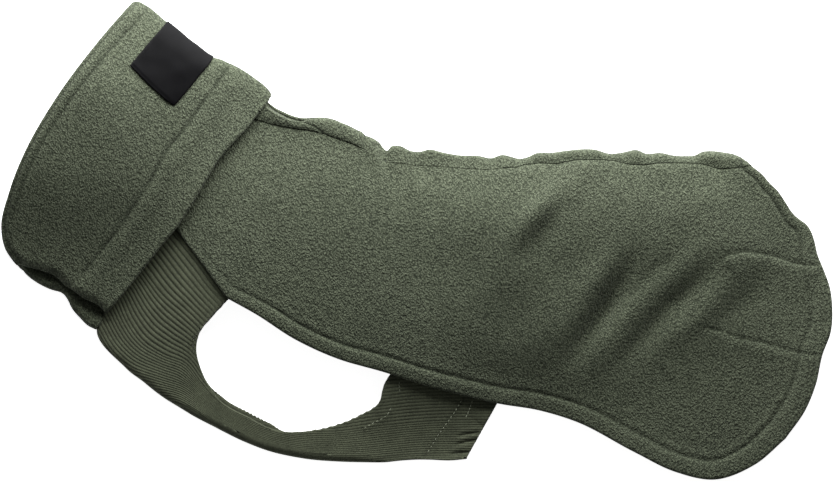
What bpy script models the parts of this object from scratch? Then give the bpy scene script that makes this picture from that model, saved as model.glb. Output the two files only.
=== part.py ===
"""Dog sweater of polar fleece with a rib-knit chest panel, laid flat on its right side.

The right half lies on the ground plane, z = 0, and the left half lies on it. +X points to the tail,
+Y to the back line and +Z up. Lengths in the tables are in millimetres and become metres where the
meshes are made. Every piece is a sheet: a grid of points on its middle surface, given its wall by a
Solidify modifier.
"""

from collections import namedtuple

import bmesh
import bpy
import numpy as np

# ---------------------------------------------------------------- driving dimensions, in millimetres

MILLIMETRE = 0.001      # in metres

FLEECE = 2.5            # wall of the polar fleece
RIB = 1.5               # wall of the rib knit
CASING = 2.0            # wall of the casing and of the slit's welts
LABEL = 1.0             # wall of the woven label
GAP = 0.35              # clearance between pieces that touch

BASE_LOFT = 7.8         # height of the upper layer's middle surface where nothing lifts it

# Each fold: the height of its outermost line, and how far its rounding reaches into the cloth.
BODY_FOLD_HEIGHT, BODY_FOLD_REACH = 6.2, 9.0
COLLAR_FOLD_HEIGHT, COLLAR_FOLD_REACH = 6.9, 12.0
INNER_FOLD_HEIGHT, INNER_FOLD_REACH = 7.2, 9.0
INNER_INSET = 4.2       # how far the inner layer's fold lies inside the outer one's
THROAT_FOLD_HEIGHT, THROAT_FOLD_REACH = 6.9, 6.0
BELLY_FOLD_HEIGHT, BELLY_FOLD_REACH = 3.3, 4.0
SQUARE_START = 0.1      # share of its height that a layer rises at once on leaving its fold

BACK_SECTIONS = 32      # sections along each back panel

# The drawcord casing, in shares of the back line's length and in millimetres.
CASING_SPAN = (0.29, 0.995)
CASING_ROLL = (0.55, 0.66)       # where the casing rolls over onto the left side
CASING_NARROW, CASING_WIDE = 2.5, 9.5
CASING_TUCK = 1.2                # how far casing and welts reach round onto the right side
CASING_PLEATS = 14
CASING_PLEAT_DEPTH = 1.3

WELT_SECTIONS = (3, 9)           # the leash slit's welts run between these back sections
WELT_WIDTH = 9.0

LABEL_SPAN = (0.24, 0.55)        # in shares of the collar fold's length
LABEL_DROP = 36.0
LABEL_TUCK = 1.5

# Where the upper layer stands off the lower one: a hill's centre, height and reach.
Hill = namedtuple("Hill", "x y height reach_x reach_y")
HILLS = (
    Hill(x=-241, y=51, height=8.3, reach_x=60, reach_y=43),    # collar, lower part
    Hill(x=-208, y=97, height=5.6, reach_x=33, reach_y=32),    # collar, upper part
    Hill(x=-74, y=28, height=10.9, reach_x=89, reach_y=95),    # shoulder
    Hill(x=-80, y=37, height=-3.1, reach_x=39, reach_y=75),    # its slack middle
    Hill(x=0, y=78, height=-5.4, reach_x=95, reach_y=58),      # falls away to the back line
    Hill(x=79, y=-51, height=7.0, reach_x=112, reach_y=34),    # flank
    Hill(x=61, y=8, height=7.9, reach_x=66, reach_y=43),       # loin
    Hill(x=158, y=6, height=7.4, reach_x=52, reach_y=51),      # rump
    Hill(x=207, y=-4, height=4.9, reach_x=29, reach_y=39),     # tail
    Hill(x=212, y=-103, height=1.8, reach_x=72, reach_y=55),   # under the tail
)

# Folds of the upper layer: a line through three places, its depth (up is positive) in the middle of
# the line, from where it fades to both ends, and its half width.
Fold = namedtuple("Fold", "start middle end depth width")
FOLDS = (
    Fold(start=(105, 52), middle=(82, 16), end=(63, 0), depth=3.4, width=8),
    Fold(start=(97, 31), middle=(83, 16), end=(77, -1), depth=-1.3, width=5.5),
    Fold(start=(142, 9), middle=(115, -27), end=(87, -43), depth=1.1, width=9),
    Fold(start=(154, 4), middle=(125, -44), end=(92, -94), depth=-5.2, width=8.5),
    Fold(start=(185, 6), middle=(145, -31), end=(109, -71), depth=-1.1, width=5),
    Fold(start=(214, -2), middle=(168, -43), end=(119, -100), depth=-2.7, width=8),
    Fold(start=(216, -9), middle=(185, -53), end=(150, -72), depth=1.2, width=7.5),
    Fold(start=(238, -10), middle=(213, -44), end=(186, -57), depth=-1.3, width=10),
    Fold(start=(73, -18), middle=(63, -54), end=(51, -81), depth=-2.6, width=16),
    Fold(start=(9, 44), middle=(0, 33), end=(-12, 33), depth=1.0, width=10),
    Fold(start=(190, -14), middle=(235, -8), end=(284, -20), depth=-1.6, width=6),     # upper dart
    Fold(start=(178, -57), middle=(230, -66), end=(286, -82), depth=-1.6, width=6),    # lower dart
)

# Outlines, head to tail or top to bottom.
BACK_LINE = (
    (-119, 107), (-105, 95), (-93, 84.5), (-79, 78.5), (-59, 78), (-47, 74), (-36, 66.5),
    (-22, 58), (9, 55.5), (55, 51.5), (80, 53.5), (105, 55.5), (155, 54), (188, 54), (210, 53),
    (219, 50),
)
FRONT_EDGE = ((-170.5, 32.5), (-157, 6), (-142, -14.5), (-125.5, -37.5))
FLANK_HEM = (
    (-125.5, -37.5), (-106.5, -48), (-80, -65), (-54, -77), (-20, -87), (3, -94.5), (27, -101),
    (54.5, -107.5), (81.5, -112), (104.5, -119), (144, -139.5), (171, -152.5), (197, -157.5),
    (223.5, -147.5), (243.5, -130.5),
)
TAIL_HEM = (
    (219, 50), (230, 43), (246, 21), (251, 16.5), (258, 11), (264, -1), (266, -14),
    (270, -21), (274, -38), (274, -58), (268, -75), (263.5, -95), (257, -111), (243.5, -130.5),
)
COLLAR_TOP = (
    (-189, 156), (-180, 154.5), (-166, 144), (-148, 129), (-134, 120), (-126.5, 118.5),
    (-107, 107), (-99, 101), (-95, 96),
)
HEAD_EDGE = (
    (-189, 156), (-205.5, 136.5), (-219, 119.5), (-238.5, 92.5), (-258.5, 58), (-268.5, 33),
    (-274, 8), (-271.5, -4), (-262, -16),
)
TURNED_EDGE = (
    (-95, 96), (-97, 91), (-105.5, 81.5), (-119, 65), (-137.5, 40), (-153, 17), (-168, -3), (-188, -27),
    (-204, -48),
)
LEFT_LIP = ((-262, -16), (-254, -18), (-237, -27.5), (-232, -33), (-219, -41.5), (-204, -48))
RIGHT_LIP = (
    (-262, -16), (-252, -25.5), (-238.5, -32.5), (-232, -35.5), (-225.5, -46), (-219, -54),
    (-211, -58.5),
)

# The neck seam, where the body and the chest panel meet the inner collar, from the back to the
# throat, and the line along the throat where the inner collar folds.
NECK_SEAM = ((-119, 107), (-170.5, 32.5), (-221, -28))
THROAT = ((-258, -9), (-247, -14), (-234, -22), (-221, -28))

# Sections of the chest panel, from the neck seam to the rear hem: where its upper edge is and where
# its fold along the belly is. Between its two runs under the fleece the upper edge is the leg hole's.
RibSection = namedtuple("RibSection", "edge_x edge_y fold_x fold_y")
RIB_SECTIONS = (
    RibSection(edge_x=-165, edge_y=36, fold_x=-219.5, fold_y=-29.5),
    RibSection(edge_x=-151, edge_y=9.5, fold_x=-211, fold_y=-58.5),
    RibSection(edge_x=-136, edge_y=-11, fold_x=-192, fold_y=-83),
    RibSection(edge_x=-120.5, edge_y=-33, fold_x=-180, fold_y=-92.5),
    RibSection(edge_x=-133, edge_y=-44.5, fold_x=-172, fold_y=-99),
    RibSection(edge_x=-142, edge_y=-57, fold_x=-165, fold_y=-104),
    RibSection(edge_x=-145.5, edge_y=-71, fold_x=-156, fold_y=-109.5),
    RibSection(edge_x=-141.5, edge_y=-87, fold_x=-147, fold_y=-115),
    RibSection(edge_x=-130, edge_y=-105, fold_x=-134.5, fold_y=-121.5),
    RibSection(edge_x=-110, edge_y=-117, fold_x=-114.5, fold_y=-131.5),
    RibSection(edge_x=-93, edge_y=-125, fold_x=-96, fold_y=-138.5),
    RibSection(edge_x=-76, edge_y=-126, fold_x=-74.5, fold_y=-143),
    RibSection(edge_x=-54, edge_y=-122, fold_x=-52, fold_y=-145),
    RibSection(edge_x=-38, edge_y=-115.5, fold_x=-34, fold_y=-145.5),
    RibSection(edge_x=-25, edge_y=-107, fold_x=-20, fold_y=-145.5),
    RibSection(edge_x=-20.5, edge_y=-93, fold_x=-9, fold_y=-144.5),
    RibSection(edge_x=-12, edge_y=-83, fold_x=-1, fold_y=-144),
    RibSection(edge_x=7, edge_y=-88, fold_x=8, fold_y=-144),
    RibSection(edge_x=32, edge_y=-94.5, fold_x=22, fold_y=-144.5),
    RibSection(edge_x=57, edge_y=-100.5, fold_x=33, fold_y=-143.5),
)

# Cloth colours: red, green, blue (linear) and roughness.
Cloth = namedtuple("Cloth", "colour roughness")
CLOTHS = {
    "fleece": Cloth(colour=(0.115, 0.140, 0.092), roughness=0.95),
    "rib_knit": Cloth(colour=(0.075, 0.088, 0.060), roughness=0.9),
    "satin": Cloth(colour=(0.012, 0.012, 0.014), roughness=0.4),
}


# ------------------------------------------------------------------------------ plan geometry

def smooth_path(points, step=1.0):
    """A smooth curve through the points, as a dense list of places evenly spaced along it."""
    knots = np.array(points, dtype=float)
    chords = np.linalg.norm(np.diff(knots, axis=0), axis=1)
    at = np.concatenate([[0.0], np.cumsum(chords)])
    slopes = np.gradient(knots, at, axis=0, edge_order=1)
    dense = []
    for k, chord in enumerate(chords):
        t = np.linspace(0.0, 1.0, max(3, int(chord / step) + 2))[:, None]
        dense.append(
            (2 * t**3 - 3 * t**2 + 1) * knots[k]
            + (t**3 - 2 * t**2 + t) * chord * slopes[k]
            + (3 * t**2 - 2 * t**3) * knots[k + 1]
            + (t**3 - t**2) * chord * slopes[k + 1]
        )
    return np.concatenate(dense)


def along(path, fraction):
    """Places at the given fractions of a path's length."""
    lengths = np.linalg.norm(np.diff(path, axis=0), axis=1)
    at = np.concatenate([[0.0], np.cumsum(lengths)])
    wanted = np.asarray(fraction) * at[-1]
    return np.stack([np.interp(wanted, at, path[:, k]) for k in range(path.shape[1])], axis=-1)


def patch(top, bottom, left, right, s, u):
    """Coons patch: places on the sheet spanned by four edges, s along it and u down it."""
    s = np.clip(s, 0, 1)[..., None]
    u = np.clip(u, 0, 1)[..., None]
    on_top, on_bottom = along(top, s[..., 0]), along(bottom, s[..., 0])
    on_left, on_right = along(left, u[..., 0]), along(right, u[..., 0])
    corners = (
        (1 - s) * (1 - u) * top[0] + s * (1 - u) * top[-1] + (1 - s) * u * bottom[0] + s * u * bottom[-1]
    )
    return (1 - u) * on_top + u * on_bottom + (1 - s) * on_left + s * on_right - corners


def nearest(path, x, y):
    """Distance from each place to a path, and the share of the path's length there."""
    spots = np.stack([x, y], axis=-1)[..., None, :]
    start, step = path[:-1], np.diff(path, axis=0)
    lengths = np.maximum(np.linalg.norm(step, axis=1), 1e-9)
    t = np.clip(((spots - start) * step).sum(-1) / lengths**2, 0, 1)
    distances = np.linalg.norm(spots - start - t[..., None] * step, axis=-1)
    k = distances.argmin(-1)
    run = np.concatenate([[0.0], np.cumsum(lengths)])
    t = np.take_along_axis(t, k[..., None], axis=-1)[..., 0]
    return distances.min(-1), (run[k] + t * lengths[k]) / run[-1]


def inset(path, distance):
    """A path moved sideways, to the right of its direction."""
    heading = np.gradient(path, axis=0)
    heading /= np.maximum(np.linalg.norm(heading, axis=1, keepdims=True), 1e-9)
    return path + distance * np.stack([heading[:, 1], -heading[:, 0]], axis=1)


def ramp(value, low, high):
    """0 below low, 1 above high, with a smooth rise between them."""
    t = np.clip((value - low) / (high - low), 0, 1)
    return t * t * (3 - 2 * t)


# ------------------------------------------------------------------------------ heights

def upper_height(x, y):
    """Middle surface of the upper layer of fleece: its loft, hills and folds."""
    z = np.full(np.shape(x), BASE_LOFT)
    for hill in HILLS:
        z = z + hill.height * np.exp(-((x - hill.x) / hill.reach_x) ** 2 - ((y - hill.y) / hill.reach_y) ** 2)
    for fold in FOLDS:
        line = smooth_path((fold.start, fold.middle, fold.end), step=6.0)
        distance, share = nearest(line, x, y)
        z = z + fold.depth * np.exp(-((distance / fold.width) ** 2)) * np.sin(np.pi * share) ** 2
    return z


def past_collar(x, y):
    """Distance past the collar's turned edge, towards the tail; negative under the collar."""
    edge_x, edge_y = TURNED_EDGE[0]
    low_x, low_y = TURNED_EDGE[-1]
    run = np.hypot(low_x - edge_x, low_y - edge_y)
    return ((x - edge_x) * (edge_y - low_y) + (y - edge_y) * (low_x - edge_x)) / run


def over_collar(x, y):
    """Height that the lower layers gain where they lie on the collar's right half."""
    return (FLEECE + GAP) * (1 - ramp(past_collar(x, y), 15, 36))


def lower_fleece(x, y):
    """Middle surface of the right back panel: on the ground, or on the collar."""
    return FLEECE / 2 + over_collar(x, y)


def lower_rib(x, y):
    """Middle surface of the chest panel's right half: on the ground, the fleece or the collar."""
    rim = smooth_path(FRONT_EDGE + FLANK_HEM[1:8], step=4.0)
    on_fleece = (FLEECE + 1.9 * GAP) * (1 - ramp(nearest(rim, x, y)[0], 10, 24))
    return RIB / 2 + over_collar(x, y) + on_fleece


def upper_rib(x, y):
    """Middle surface of the chest panel's left half, which passes under the fleece."""
    return upper_height(x, y) - (FLEECE + RIB) / 2 - GAP


# ------------------------------------------------------------------------------ sheets

def fold_steps(reach, length, turns, flats):
    """Distances from a fold to a sheet's far edge: close together round the fold, then even.

    The first two are both on the fold, so that the sheet leaves it square to the ground.
    """
    angles = np.linspace(0, np.pi / 2, turns + 1)
    round_part = reach * (1 - np.cos(angles))
    return np.concatenate([[0.0], round_part, np.linspace(reach, length, flats + 1)[1:]])


def fold_share(distance, reach):
    """Share of its height that a layer has reached at a distance from its fold: a quarter ellipse."""
    t = np.clip(distance / reach, 0, 1)
    share = SQUARE_START + (1 - SQUARE_START) * np.sqrt(1 - (1 - t) ** 2)
    share[:, 0] = 0
    return share


def on_panel(edges, s, distances):
    """Places on a panel at distances from its top edge, a row for each section."""
    top, bottom, left, right = edges
    lengths = np.linalg.norm(along(top, s) - along(bottom, s), axis=1)
    share = distances / lengths[:, None]
    spots = patch(top, bottom, left, right, np.repeat(s[:, None], share.shape[1], axis=1), share)
    return spots[..., 0], spots[..., 1], np.linalg.norm(spots - spots[:, :1], axis=-1)


def panel(edges, columns, reach, turns, flats):
    """Places on a whole panel, from its fold to its free edge."""
    top, bottom = edges[:2]
    s = np.linspace(0, 1, columns + 1)
    lengths = np.linalg.norm(along(top, s) - along(bottom, s), axis=1)
    return on_panel(edges, s, np.stack([fold_steps(reach, length, turns, flats) for length in lengths]))


def moved_out(grid, distance):
    """The grid's points moved along its normals, away from the cloth that it covers."""
    normals = np.cross(np.gradient(grid, axis=0), np.gradient(grid, axis=1))
    normals /= np.linalg.norm(normals, axis=-1, keepdims=True)
    return grid + normals * np.broadcast_to(distance, grid.shape[:2])[..., None]


def joined(left, right):
    """One sheet from its two halves, each from the fold outwards: they share the fold's line."""
    return np.concatenate([left[:, :1:-1], left[:, :1], right[:, 2:]], axis=1)


def make_sheet(name, grid, wall, cloth):
    """A closed sheet: the grid's points, in millimetres, given a wall of even thickness."""
    rows, columns = grid.shape[0] - 1, grid.shape[1] - 1
    bm = bmesh.new()
    bmesh.ops.create_grid(bm, x_segments=rows, y_segments=columns, size=1.0)
    for vert in bm.verts:
        i = round((vert.co.x + 1) / 2 * rows)
        j = round((vert.co.y + 1) / 2 * columns)
        vert.co = grid[i, j] * MILLIMETRE
    mesh = bpy.data.meshes.new(name)
    bm.to_mesh(mesh)
    bm.free()
    mesh.shade_smooth()
    mesh.materials.append(material(cloth))
    sheet = bpy.data.objects.new(name, mesh)
    bpy.context.scene.collection.objects.link(sheet)
    solidify = sheet.modifiers.new("wall", "SOLIDIFY")
    solidify.thickness = wall * MILLIMETRE
    solidify.offset = 0.0
    return sheet


def material(cloth):
    """The cloth's Principled material, made once."""
    if cloth in bpy.data.materials:
        return bpy.data.materials[cloth]
    made = bpy.data.materials.new(cloth)
    made.use_nodes = True
    shader = made.node_tree.nodes["Principled BSDF"]
    shader.inputs["Base Color"].default_value = (*CLOTHS[cloth].colour, 1.0)
    shader.inputs["Roughness"].default_value = CLOTHS[cloth].roughness
    shader.inputs["Metallic"].default_value = 0.0
    return made


# ------------------------------------------------------------------------------ back panels

BODY_EDGES = (
    smooth_path(BACK_LINE),
    np.concatenate([smooth_path(FRONT_EDGE), smooth_path(FLANK_HEM)]),
    smooth_path(NECK_SEAM[:2]),
    smooth_path(TAIL_HEM),
)


def body_height(x, y, share, side):
    """Middle surface of a back panel; side is 1 on the left panel and -1 on the right one."""
    start = BODY_FOLD_HEIGHT + side * GAP / 2 + over_collar(x, y) / 2
    flat = upper_height(x, y) if side > 0 else lower_fleece(x, y)
    return start + (flat - start) * share


def back_panel(side, flats, turns=4):
    """A back panel, from the centre back fold to its hem."""
    x, y, distance = panel(BODY_EDGES, BACK_SECTIONS, BODY_FOLD_REACH, turns, flats)
    share = fold_share(distance, BODY_FOLD_REACH)
    return np.dstack([x, y, body_height(x, y, share, side)])


def fold_cover(s, left_leg, right_leg, turns):
    """The body's own surface round the centre back fold: the base of what is sewn on there."""
    halves = []
    for side, leg in ((1, left_leg), (-1, right_leg)):
        steps = np.linspace(0, 1, turns + 1) ** 2
        x, y, distance = on_panel(BODY_EDGES, s, leg[:, None] * steps)
        share = fold_share(distance, BODY_FOLD_REACH)
        halves.append(np.dstack([x, y, body_height(x, y, share, side)]))
    return halves


def spine_casing():
    """The gathered drawcord casing, from the leash slit to the tail."""
    s = np.linspace(*CASING_SPAN, 2 * CASING_PLEATS + 1)
    left_leg = CASING_NARROW + (CASING_WIDE - CASING_NARROW) * ramp(s, *CASING_ROLL)
    left, right = fold_cover(s, left_leg, np.full(s.shape, CASING_TUCK), turns=3)
    pleat = CASING_PLEAT_DEPTH * (np.arange(len(s)) % 2)
    grid = np.concatenate([left[:, ::-1], right[:, 1:]], axis=1)
    return moved_out(grid, (FLEECE + CASING) / 2 + 1.6 * GAP + pleat[:, None])


def slit_welt(side):
    """One lip of the leash slit, on the centre back seam behind the collar."""
    first, last = WELT_SECTIONS
    s = np.arange(first, last + 1) / BACK_SECTIONS
    leg = np.full(s.shape, WELT_WIDTH if side > 0 else CASING_TUCK)
    cover = fold_cover(s, leg, leg, turns=4)[0 if side > 0 else 1]
    if side < 0:
        cover = cover[:, ::-1]
    return moved_out(cover[:, ::-1], (FLEECE + CASING) / 2 + GAP)


# ------------------------------------------------------------------------------ collar

COLLAR_EDGES_LEFT = (
    smooth_path(COLLAR_TOP), smooth_path(LEFT_LIP), smooth_path(HEAD_EDGE), smooth_path(TURNED_EDGE)
)
COLLAR_EDGES_RIGHT = (
    smooth_path(COLLAR_TOP), smooth_path(RIGHT_LIP), smooth_path(HEAD_EDGE),
    smooth_path(TURNED_EDGE[:-1] + RIGHT_LIP[-1:]),
)


def collar_height(x, y, share, side):
    """Middle surface of the collar's outer layer."""
    flat = upper_height(x, y) + FLEECE + 1.6 * GAP if side > 0 else FLEECE / 2
    return COLLAR_FOLD_HEIGHT + (flat - COLLAR_FOLD_HEIGHT) * share


def collar_outer(columns=9, turns=5, flats=10):
    """The turned-down layer, from its left lip at the throat over the fold to its right lip."""
    halves = []
    for side, edges in ((1, COLLAR_EDGES_LEFT), (-1, COLLAR_EDGES_RIGHT)):
        x, y, distance = panel(edges, columns, COLLAR_FOLD_REACH, turns, flats)
        share = fold_share(distance, COLLAR_FOLD_REACH)
        halves.append(np.dstack([x, y, collar_height(x, y, share, side)]))
    return joined(*halves)


def collar_inner(columns=7, turns=4, flats=8):
    """The inner layer, a tube with its seam at the throat, from the head edge to the neck seam."""
    top = inset(smooth_path(COLLAR_TOP), INNER_INSET)
    top = along(top, np.linspace(0.02, 0.74, 60))
    head = smooth_path((tuple(top[0]),) + HEAD_EDGE[1:-1] + THROAT[:1])
    seam = inset(smooth_path((tuple(top[-1]),) + NECK_SEAM[1:]), 1.4 * GAP)
    edges = (top, smooth_path(THROAT), head, seam)
    s = np.linspace(0, 1, columns + 1)
    lengths = np.linalg.norm(along(top, s) - along(edges[1], s), axis=1)
    near_top = [fold_steps(INNER_FOLD_REACH, length - THROAT_FOLD_REACH, turns, flats) for length in lengths]
    angles = np.linspace(np.pi / 2, 0, turns + 1)[1:]
    near_throat = THROAT_FOLD_REACH * (1 - np.cos(angles))
    steps = np.stack([
        np.concatenate([down, length - near_throat, [length]]) for down, length in zip(near_top, lengths)
    ])
    halves = []
    for side in (1, -1):
        x, y, distance = on_panel(edges, s, steps)
        share = fold_share(distance, INNER_FOLD_REACH)
        share_throat = fold_share((lengths[:, None] - steps)[:, ::-1], THROAT_FOLD_REACH)[:, ::-1]
        flat = upper_height(x, y) if side > 0 else lower_fleece(x, y)
        z = INNER_FOLD_HEIGHT + (flat - INNER_FOLD_HEIGHT) * share
        throat = THROAT_FOLD_HEIGHT + side * GAP / 2
        z = throat + (z - throat) * share_throat
        halves.append(np.dstack([x, y, z]))
    return joined(*halves)


def neck_label():
    """The label, over the collar's fold: made from the outer layer's own surface, moved out."""
    s = np.linspace(*LABEL_SPAN, 5)
    halves = []
    for side, edges, leg in ((1, COLLAR_EDGES_LEFT, LABEL_DROP), (-1, COLLAR_EDGES_RIGHT, LABEL_TUCK)):
        steps = leg * np.linspace(0, 1, 9 if side > 0 else 3) ** 2
        x, y, distance = on_panel(edges, s, np.repeat(steps[None], len(s), axis=0))
        share = fold_share(distance, COLLAR_FOLD_REACH)
        halves.append(np.dstack([x, y, collar_height(x, y, share, side)]))
    left, right = halves
    return moved_out(np.concatenate([left[:, ::-1], right[:, 1:]], axis=1), (FLEECE + LABEL) / 2 + GAP)


# ------------------------------------------------------------------------------ chest panel

def chest_rib(columns=35, turns=3, flats=4):
    """The chest panel, from its left edge round the belly fold to its right edge."""
    rows = smooth_path(RIB_SECTIONS)
    sections = along(rows, np.linspace(0, 1, columns + 1))
    edge, fold = sections[:, None, :2], sections[:, None, 2:]
    lengths = np.linalg.norm(edge - fold, axis=-1)
    steps = np.stack([fold_steps(BELLY_FOLD_REACH, length, turns, flats) for length in lengths[:, 0]])
    spots = fold + (edge - fold) * (steps / lengths)[..., None]
    x, y = spots[..., 0], spots[..., 1]
    share = fold_share(steps, BELLY_FOLD_REACH)
    start = BELLY_FOLD_HEIGHT + over_collar(x, y) / 2
    left = np.dstack([x, y, start + (upper_rib(x, y) - start) * share])
    right = np.dstack([x, y, start + (lower_rib(x, y) - start) * share])
    return joined(left, right)


# ------------------------------------------------------------------------------ the sweater

def build():
    for thing in list(bpy.data.objects):
        bpy.data.objects.remove(thing, do_unlink=True)
    make_sheet("back_left", back_panel(1, flats=12), FLEECE, "fleece")
    make_sheet("back_right", back_panel(-1, flats=5), FLEECE, "fleece")
    make_sheet("spine_casing", spine_casing(), CASING, "fleece")
    make_sheet("slit_welt_left", slit_welt(1), CASING, "fleece")
    make_sheet("slit_welt_right", slit_welt(-1), CASING, "fleece")
    make_sheet("chest_rib", chest_rib(), RIB, "rib_knit")
    make_sheet("collar_outer", collar_outer(), FLEECE, "fleece")
    make_sheet("collar_inner", collar_inner(), FLEECE, "fleece")
    make_sheet("neck_label", neck_label(), LABEL, "satin")


build()
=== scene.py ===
# %% [markdown]
# # A dog sweater of polar fleece, laid flat on its right side
#
# The sweater has a double stand-up collar that is turned down, two fleece back panels folded along the
# centre back, a chest panel of rib knit that goes round the leg hole, a leash slit with two welts and a
# gathered drawcord casing. Flat-laid clothes are nearly flat, so their look comes from three things: the
# low hills and creases of the upper layer, the turned hems, and the surface of the cloth.
#
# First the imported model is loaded. It fixes the size and the place of every piece.

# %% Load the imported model
from collections import namedtuple

import bmesh
import bpy
import numpy as np
from mathutils import Euler, Matrix, Vector, noise


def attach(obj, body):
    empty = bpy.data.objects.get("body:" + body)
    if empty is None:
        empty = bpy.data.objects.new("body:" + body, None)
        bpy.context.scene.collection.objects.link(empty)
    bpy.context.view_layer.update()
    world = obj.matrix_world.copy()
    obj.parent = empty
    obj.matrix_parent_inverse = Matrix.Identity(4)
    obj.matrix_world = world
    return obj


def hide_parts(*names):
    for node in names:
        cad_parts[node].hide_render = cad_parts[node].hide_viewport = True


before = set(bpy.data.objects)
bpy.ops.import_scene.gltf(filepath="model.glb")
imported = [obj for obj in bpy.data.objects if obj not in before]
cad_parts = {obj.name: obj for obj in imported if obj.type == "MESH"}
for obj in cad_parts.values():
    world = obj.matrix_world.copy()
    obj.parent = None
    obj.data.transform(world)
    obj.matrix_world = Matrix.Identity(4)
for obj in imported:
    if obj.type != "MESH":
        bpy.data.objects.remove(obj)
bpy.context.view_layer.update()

MM = 0.001

# %% [markdown]
# ## Cloth thicknesses
#
# All lengths are in millimetres and are turned into metres where a mesh is made. A seam leaves a small
# gap between two pieces, so that they never share a face.

# %% Sizes of the cloth
FLEECE, RIB, CASING, LABEL, GAP = 2.5, 1.5, 2.0, 0.6, 0.35
print("thickness of fleece, rib, casing and label, mm:", FLEECE, RIB, CASING, LABEL)

# %% [markdown]
# ## The outlines
#
# A maker would draw these curves on the cloth. Each is a short list of places, head to tail or top to
# bottom, and a smooth curve goes through them. A Bezier curve object could hold them as well, but plain
# places can also be measured, joined and moved in, which the hems and seams need.

# %% Outlines of the back panels
BACK_LINE = (
    (-119, 107), (-105, 95), (-93, 84.5), (-79, 78.5), (-59, 78), (-47, 74), (-38, 69.5), (-33, 68.2),
    (-28.5, 66.4), (-25, 63.8), (-22.5, 60), (-18, 57.6), (-12, 56.6), (9, 54.9), (55, 50.9), (80, 52.9),
    (105, 54.9), (155, 53.4), (188, 53.4), (210, 52.2), (216, 51.4), (219.5, 50.6),
)
FRONT_EDGE = ((-170.5, 32.5), (-157, 6), (-142, -14.5), (-125.5, -37.5))
FLANK_HEM = (
    (-125.5, -37.5), (-106.5, -48), (-80, -65), (-54, -77), (-20, -87), (3, -94.5), (27, -101),
    (54.5, -107.5), (81.5, -112), (104.5, -119), (144, -139.5), (171, -152.5), (197, -157.5),
    (223.5, -147.5), (243.5, -130.5),
)
TAIL_HEM = (
    (219.5, 50.6), (228, 44.2), (233, 38.5), (239, 32.5), (244, 25), (249, 17.7), (254, 13.6),
    (257.5, 11), (260.5, 6.5), (262.5, 1), (265, -9.5), (268.5, -18), (273, -31), (274.5, -44),
    (273.5, -60), (268, -75), (263.5, -95), (257, -111), (243.5, -130.5),
)
print("places on the back line, flank and tail:", len(BACK_LINE), len(FLANK_HEM), len(TAIL_HEM))

# %% [markdown]
# The collar leans forward, so its top fold is short and its head edge long. At the throat its two sides
# end in rolled lips, the right one a little below the left one.

# %% Outlines of the collar
COLLAR_TOP = (
    (-188.5, 156.3), (-184, 157), (-179.5, 154.8), (-166, 144), (-148, 129), (-135, 120.3),
    (-129.5, 118.8), (-124.5, 116.5), (-112, 109.3), (-106.3, 105.2), (-100.3, 100.4), (-97.8, 97.3),
    (-97, 94.5),
)
HEAD_EDGE = (
    (-188.5, 156.3), (-205.5, 136.5), (-219, 119.5), (-238.5, 92.5), (-258.5, 58), (-268.5, 33),
    (-274, 8), (-271.5, -4), (-266, -11.5), (-262, -15.5),
)
TURNED_EDGE = (
    (-97, 94.5), (-99, 90), (-105.5, 82.5), (-111, 75), (-123.1, 62), (-131.9, 51), (-140.7, 36),
    (-151.7, 18), (-157, 10), (-169.3, -5), (-180.3, -19), (-191.3, -32.5), (-199, -41.5),
    (-205.6, -48.8),
)
LEFT_LIP = (
    (-262, -15.5), (-255.9, -17.2), (-247.7, -19.5), (-237.8, -23.5), (-233, -28.5), (-227, -32.3),
    (-220.4, -37.3), (-211, -42), (-207, -45.5), (-205.6, -48.8),
)
RIGHT_LIP = (
    (-262, -15.5), (-258.4, -20.8), (-250.1, -27.4), (-241.9, -31.5), (-232.8, -34.8), (-230.3, -38.1),
    (-227, -44.7), (-221.2, -51.3), (-217.1, -55.4), (-211.3, -58.3),
)
NECK_SEAM = ((-119, 107), (-170.5, 32.5), (-221, -28))
THROAT = ((-258, -9), (-247, -14), (-234, -22), (-221, -28))
print("places on the collar's top, head edge and turned edge:",
      len(COLLAR_TOP), len(HEAD_EDGE), len(TURNED_EDGE))

# %% [markdown]
# The chest panel is a strip with a changing width, so it is drawn as sections from the neck seam to the
# rear hem: where its upper edge is, and where it folds along the belly.

# %% Sections of the chest panel
RibSection = namedtuple("RibSection", "edge_x edge_y fold_x fold_y")
RIB_SECTIONS = [RibSection(*row) for row in (
    (-165, 36, -214, -33), (-157, 20, -205.5, -46), (-151, 9.5, -210.5, -58.5), (-136, -11, -192, -83),
    (-120.5, -33, -180, -92.5), (-133, -44.5, -172, -99), (-142, -57, -165, -104),
    (-145.5, -71, -156, -109.5), (-141.5, -87, -147, -115), (-130, -105, -134.5, -121.5),
    (-110, -117, -114.5, -131.5), (-93, -125, -96, -138.5), (-76, -126, -74.5, -143),
    (-54, -122, -52, -145), (-38, -115.5, -34, -145.5), (-25, -107, -20, -145.5),
    (-20.5, -93, -9, -144.5), (-12, -83, -1, -144), (7, -88, 8, -144), (32, -94.5, 22, -144.5),
    (57, -100.5, 33, -143.5),
)]
print("sections of the chest panel:", len(RIB_SECTIONS))

# %% [markdown]
# ## Curves and distances
#
# Three small tools do the drawing work. `smooth_path` runs a curve through the places, `along` reads it
# at shares of its length, and `nearest` says how far any place on the cloth is from a curve, how far
# along the curve that is, and on which side. A hem, a dart or a crease is then a rule about a distance.

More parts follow.
